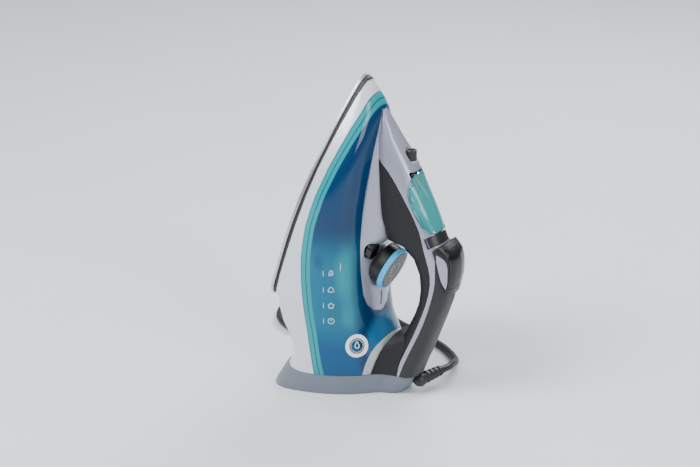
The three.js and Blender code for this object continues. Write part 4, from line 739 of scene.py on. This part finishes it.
# %% Mode symbols, dashes and the fill line
tank = mouldings["tank_shell"]
tank_side = Vector((0.46, -0.887, -0.03)).normalized()
tank_front = Vector((0.72, -0.69, 0)).normalized()
beside_marks = Vector((0.887, 0.46, 0)) * MM
TO_DASH = 7
SYMBOLS = ((drop(2.1), 126), (petals(2.7, 3, 0.45), 109.5), (petals(2.6, 5, 0.35), 93.5), (circle(3), 78))
marks = []
for outline, height in SYMBOLS:
    spot = Vector((11.6, -51.5, height)) * MM
    marks.append(stamp(tank, spot, tank_side, outline, line=0.5))
    marks.append(stamp(tank, spot - TO_DASH * beside_marks, tank_side, bar(0.22, 3.2)))
marks.append(stamp(tank, Vector((11.6, -51.5, 126)) * MM, tank_side, bar(0.22, 4), turn=-40))
marks.append(stamp(tank, Vector((11.6, -51.5, 78.6)) * MM, tank_side, bar(0.25, 1.1)))
marks.append(stamp(tank, Vector((19, -47, 132)) * MM, tank_front, bar(0.25, 5)))
printed("tank_symbols", marks, "base", white_ink)

# %% Round badge
badge_at = Vector((31.8, -38.6, 52.5)) * MM
badge_out = Vector((0.69, -0.69, 0.21)).normalized()
printed("badge_ring", [stamp(tank, badge_at, badge_out, circle(11), line=3.6)], "base", white_ink)
printed("badge_trim", [stamp(tank, badge_at, badge_out, circle(6.4), line=0.8)], "base", silver_ink)
printed("badge_drop", [stamp(tank, badge_at, badge_out, drop(2.4), line=0.7)], "base", white_ink)

# %% Dots on the dial and the steam button
face_up = Vector((0.390731, 0, 0.920505))
DOT_CIRCLE = 12
DOT_STEP = 11
dots = []
for group, angle in ((1, 35), (2, 90), (3, 145)):
    for number in range(group):
        around = math.radians(angle + DOT_STEP * (number - (group - 1) / 2))
        sideways = math.cos(around) * Vector((0, 1, 0))
        spot = DIAL_AT + DOT_CIRCLE * MM * (sideways + math.sin(around) * face_up)
        dots.append(stamp(mouldings["dial_face"], spot, DIAL_AXIS, circle(0.6)))
dots.append(stamp(mouldings["dial_face"], DIAL_AT, DIAL_AXIS, circle(7.5), line=0.35))
dots.append(stamp(mouldings["dial_face"], DIAL_AT - DOT_CIRCLE * MM * face_up, DIAL_AXIS, bar(0.4, 2)))
printed("dial_dots", dots, "dial", white_ink)
dots = []
for reach in (2.5, 4.5, 6.5):
    for angle in (-32, 0, 32):
        lean = math.radians(angle)
        spot = Vector((118, 7 + reach * math.sin(lean), 120 + reach * math.cos(lean))) * MM
        dots.append(stamp(mouldings["steam_button"], spot, Vector((1, 0, 0)), circle(0.4)))
printed("steam_button_dots", dots, "steam_key", white_ink)

# %% [markdown]
# ## Floor and light
#
# A pale matt table top fills the view. A large soft box over the left shoulder does most of the work,
# a weaker one on the right opens the shadows, and a long one behind draws light down the edges.

# %% Floor
FLOOR_WIDE = 12
FLOOR_BELOW = 0.0002
bpy.ops.object.select_all(action="DESELECT")
bpy.ops.mesh.primitive_plane_add(size=FLOOR_WIDE, location=(0, 0, -FLOOR_BELOW))
floor = settle(bpy.context.object, "table_top")
table_paint, place = blank("matt white table top")
dust = add(table_paint, "TexNoise", {"Vector": place, "Scale": 6, "Detail": 4})
paint = add(table_paint, "Mix", {0: dust.outputs["Fac"], 6: linear("#dcdee1"), 7: linear("#e3e5e8")},
            data_type="RGBA")
surface(table_paint, {"Base Color": paint.outputs[2], "Roughness": 0.55})
floor.data.materials.append(table_paint)

# %% [markdown]
# The sky is grey at the horizon and white overhead, as in a studio with a lit ceiling, so that glossy
# sides reflect a dark band low down and stay deep in colour.

# %% Lights
world = bpy.data.worlds.new("studio")
world.use_nodes = True
world.node_tree.nodes.clear()
toward = add(world, "TexCoord").outputs["Generated"]
rise = add(world, "SeparateXYZ", {0: toward})
band = add(world, "MapRange", {"Value": rise.outputs[2], "From Min": -0.05, "From Max": 0.75})
shade = add(world, "Mix", {0: band.outputs[0], 6: linear("#747a82"), 7: linear("#f2f5fa")},
            data_type="RGBA")
background = add(world, "Background", {"Color": shade.outputs[2], "Strength": 0.95})
add(world, "OutputWorld", {"Surface": background.outputs[0]})
bpy.context.scene.world = world


def soft_box(name, place, size, watts):
    """An area light that looks at the iron's middle."""
    data = bpy.data.lights.new(name, "AREA")
    data.shape = "RECTANGLE"
    data.size, data.size_y = size
    data.energy = watts
    lamp = bpy.data.objects.new(name, data)
    lamp.location = place
    lamp.rotation_euler = (LOOKED_AT - Vector(place)).to_track_quat("-Z", "Y").to_euler()
    bpy.context.collection.objects.link(lamp)


soft_box("key", (-0.7, -1.1, 1.6), (0.9, 0.9), 46)
soft_box("fill", (1.5, -0.7, 0.9), (0.6, 1.2), 16)
soft_box("back", (0.1, 1.3, 1.3), (1.4, 0.5), 24)
print("three soft boxes")
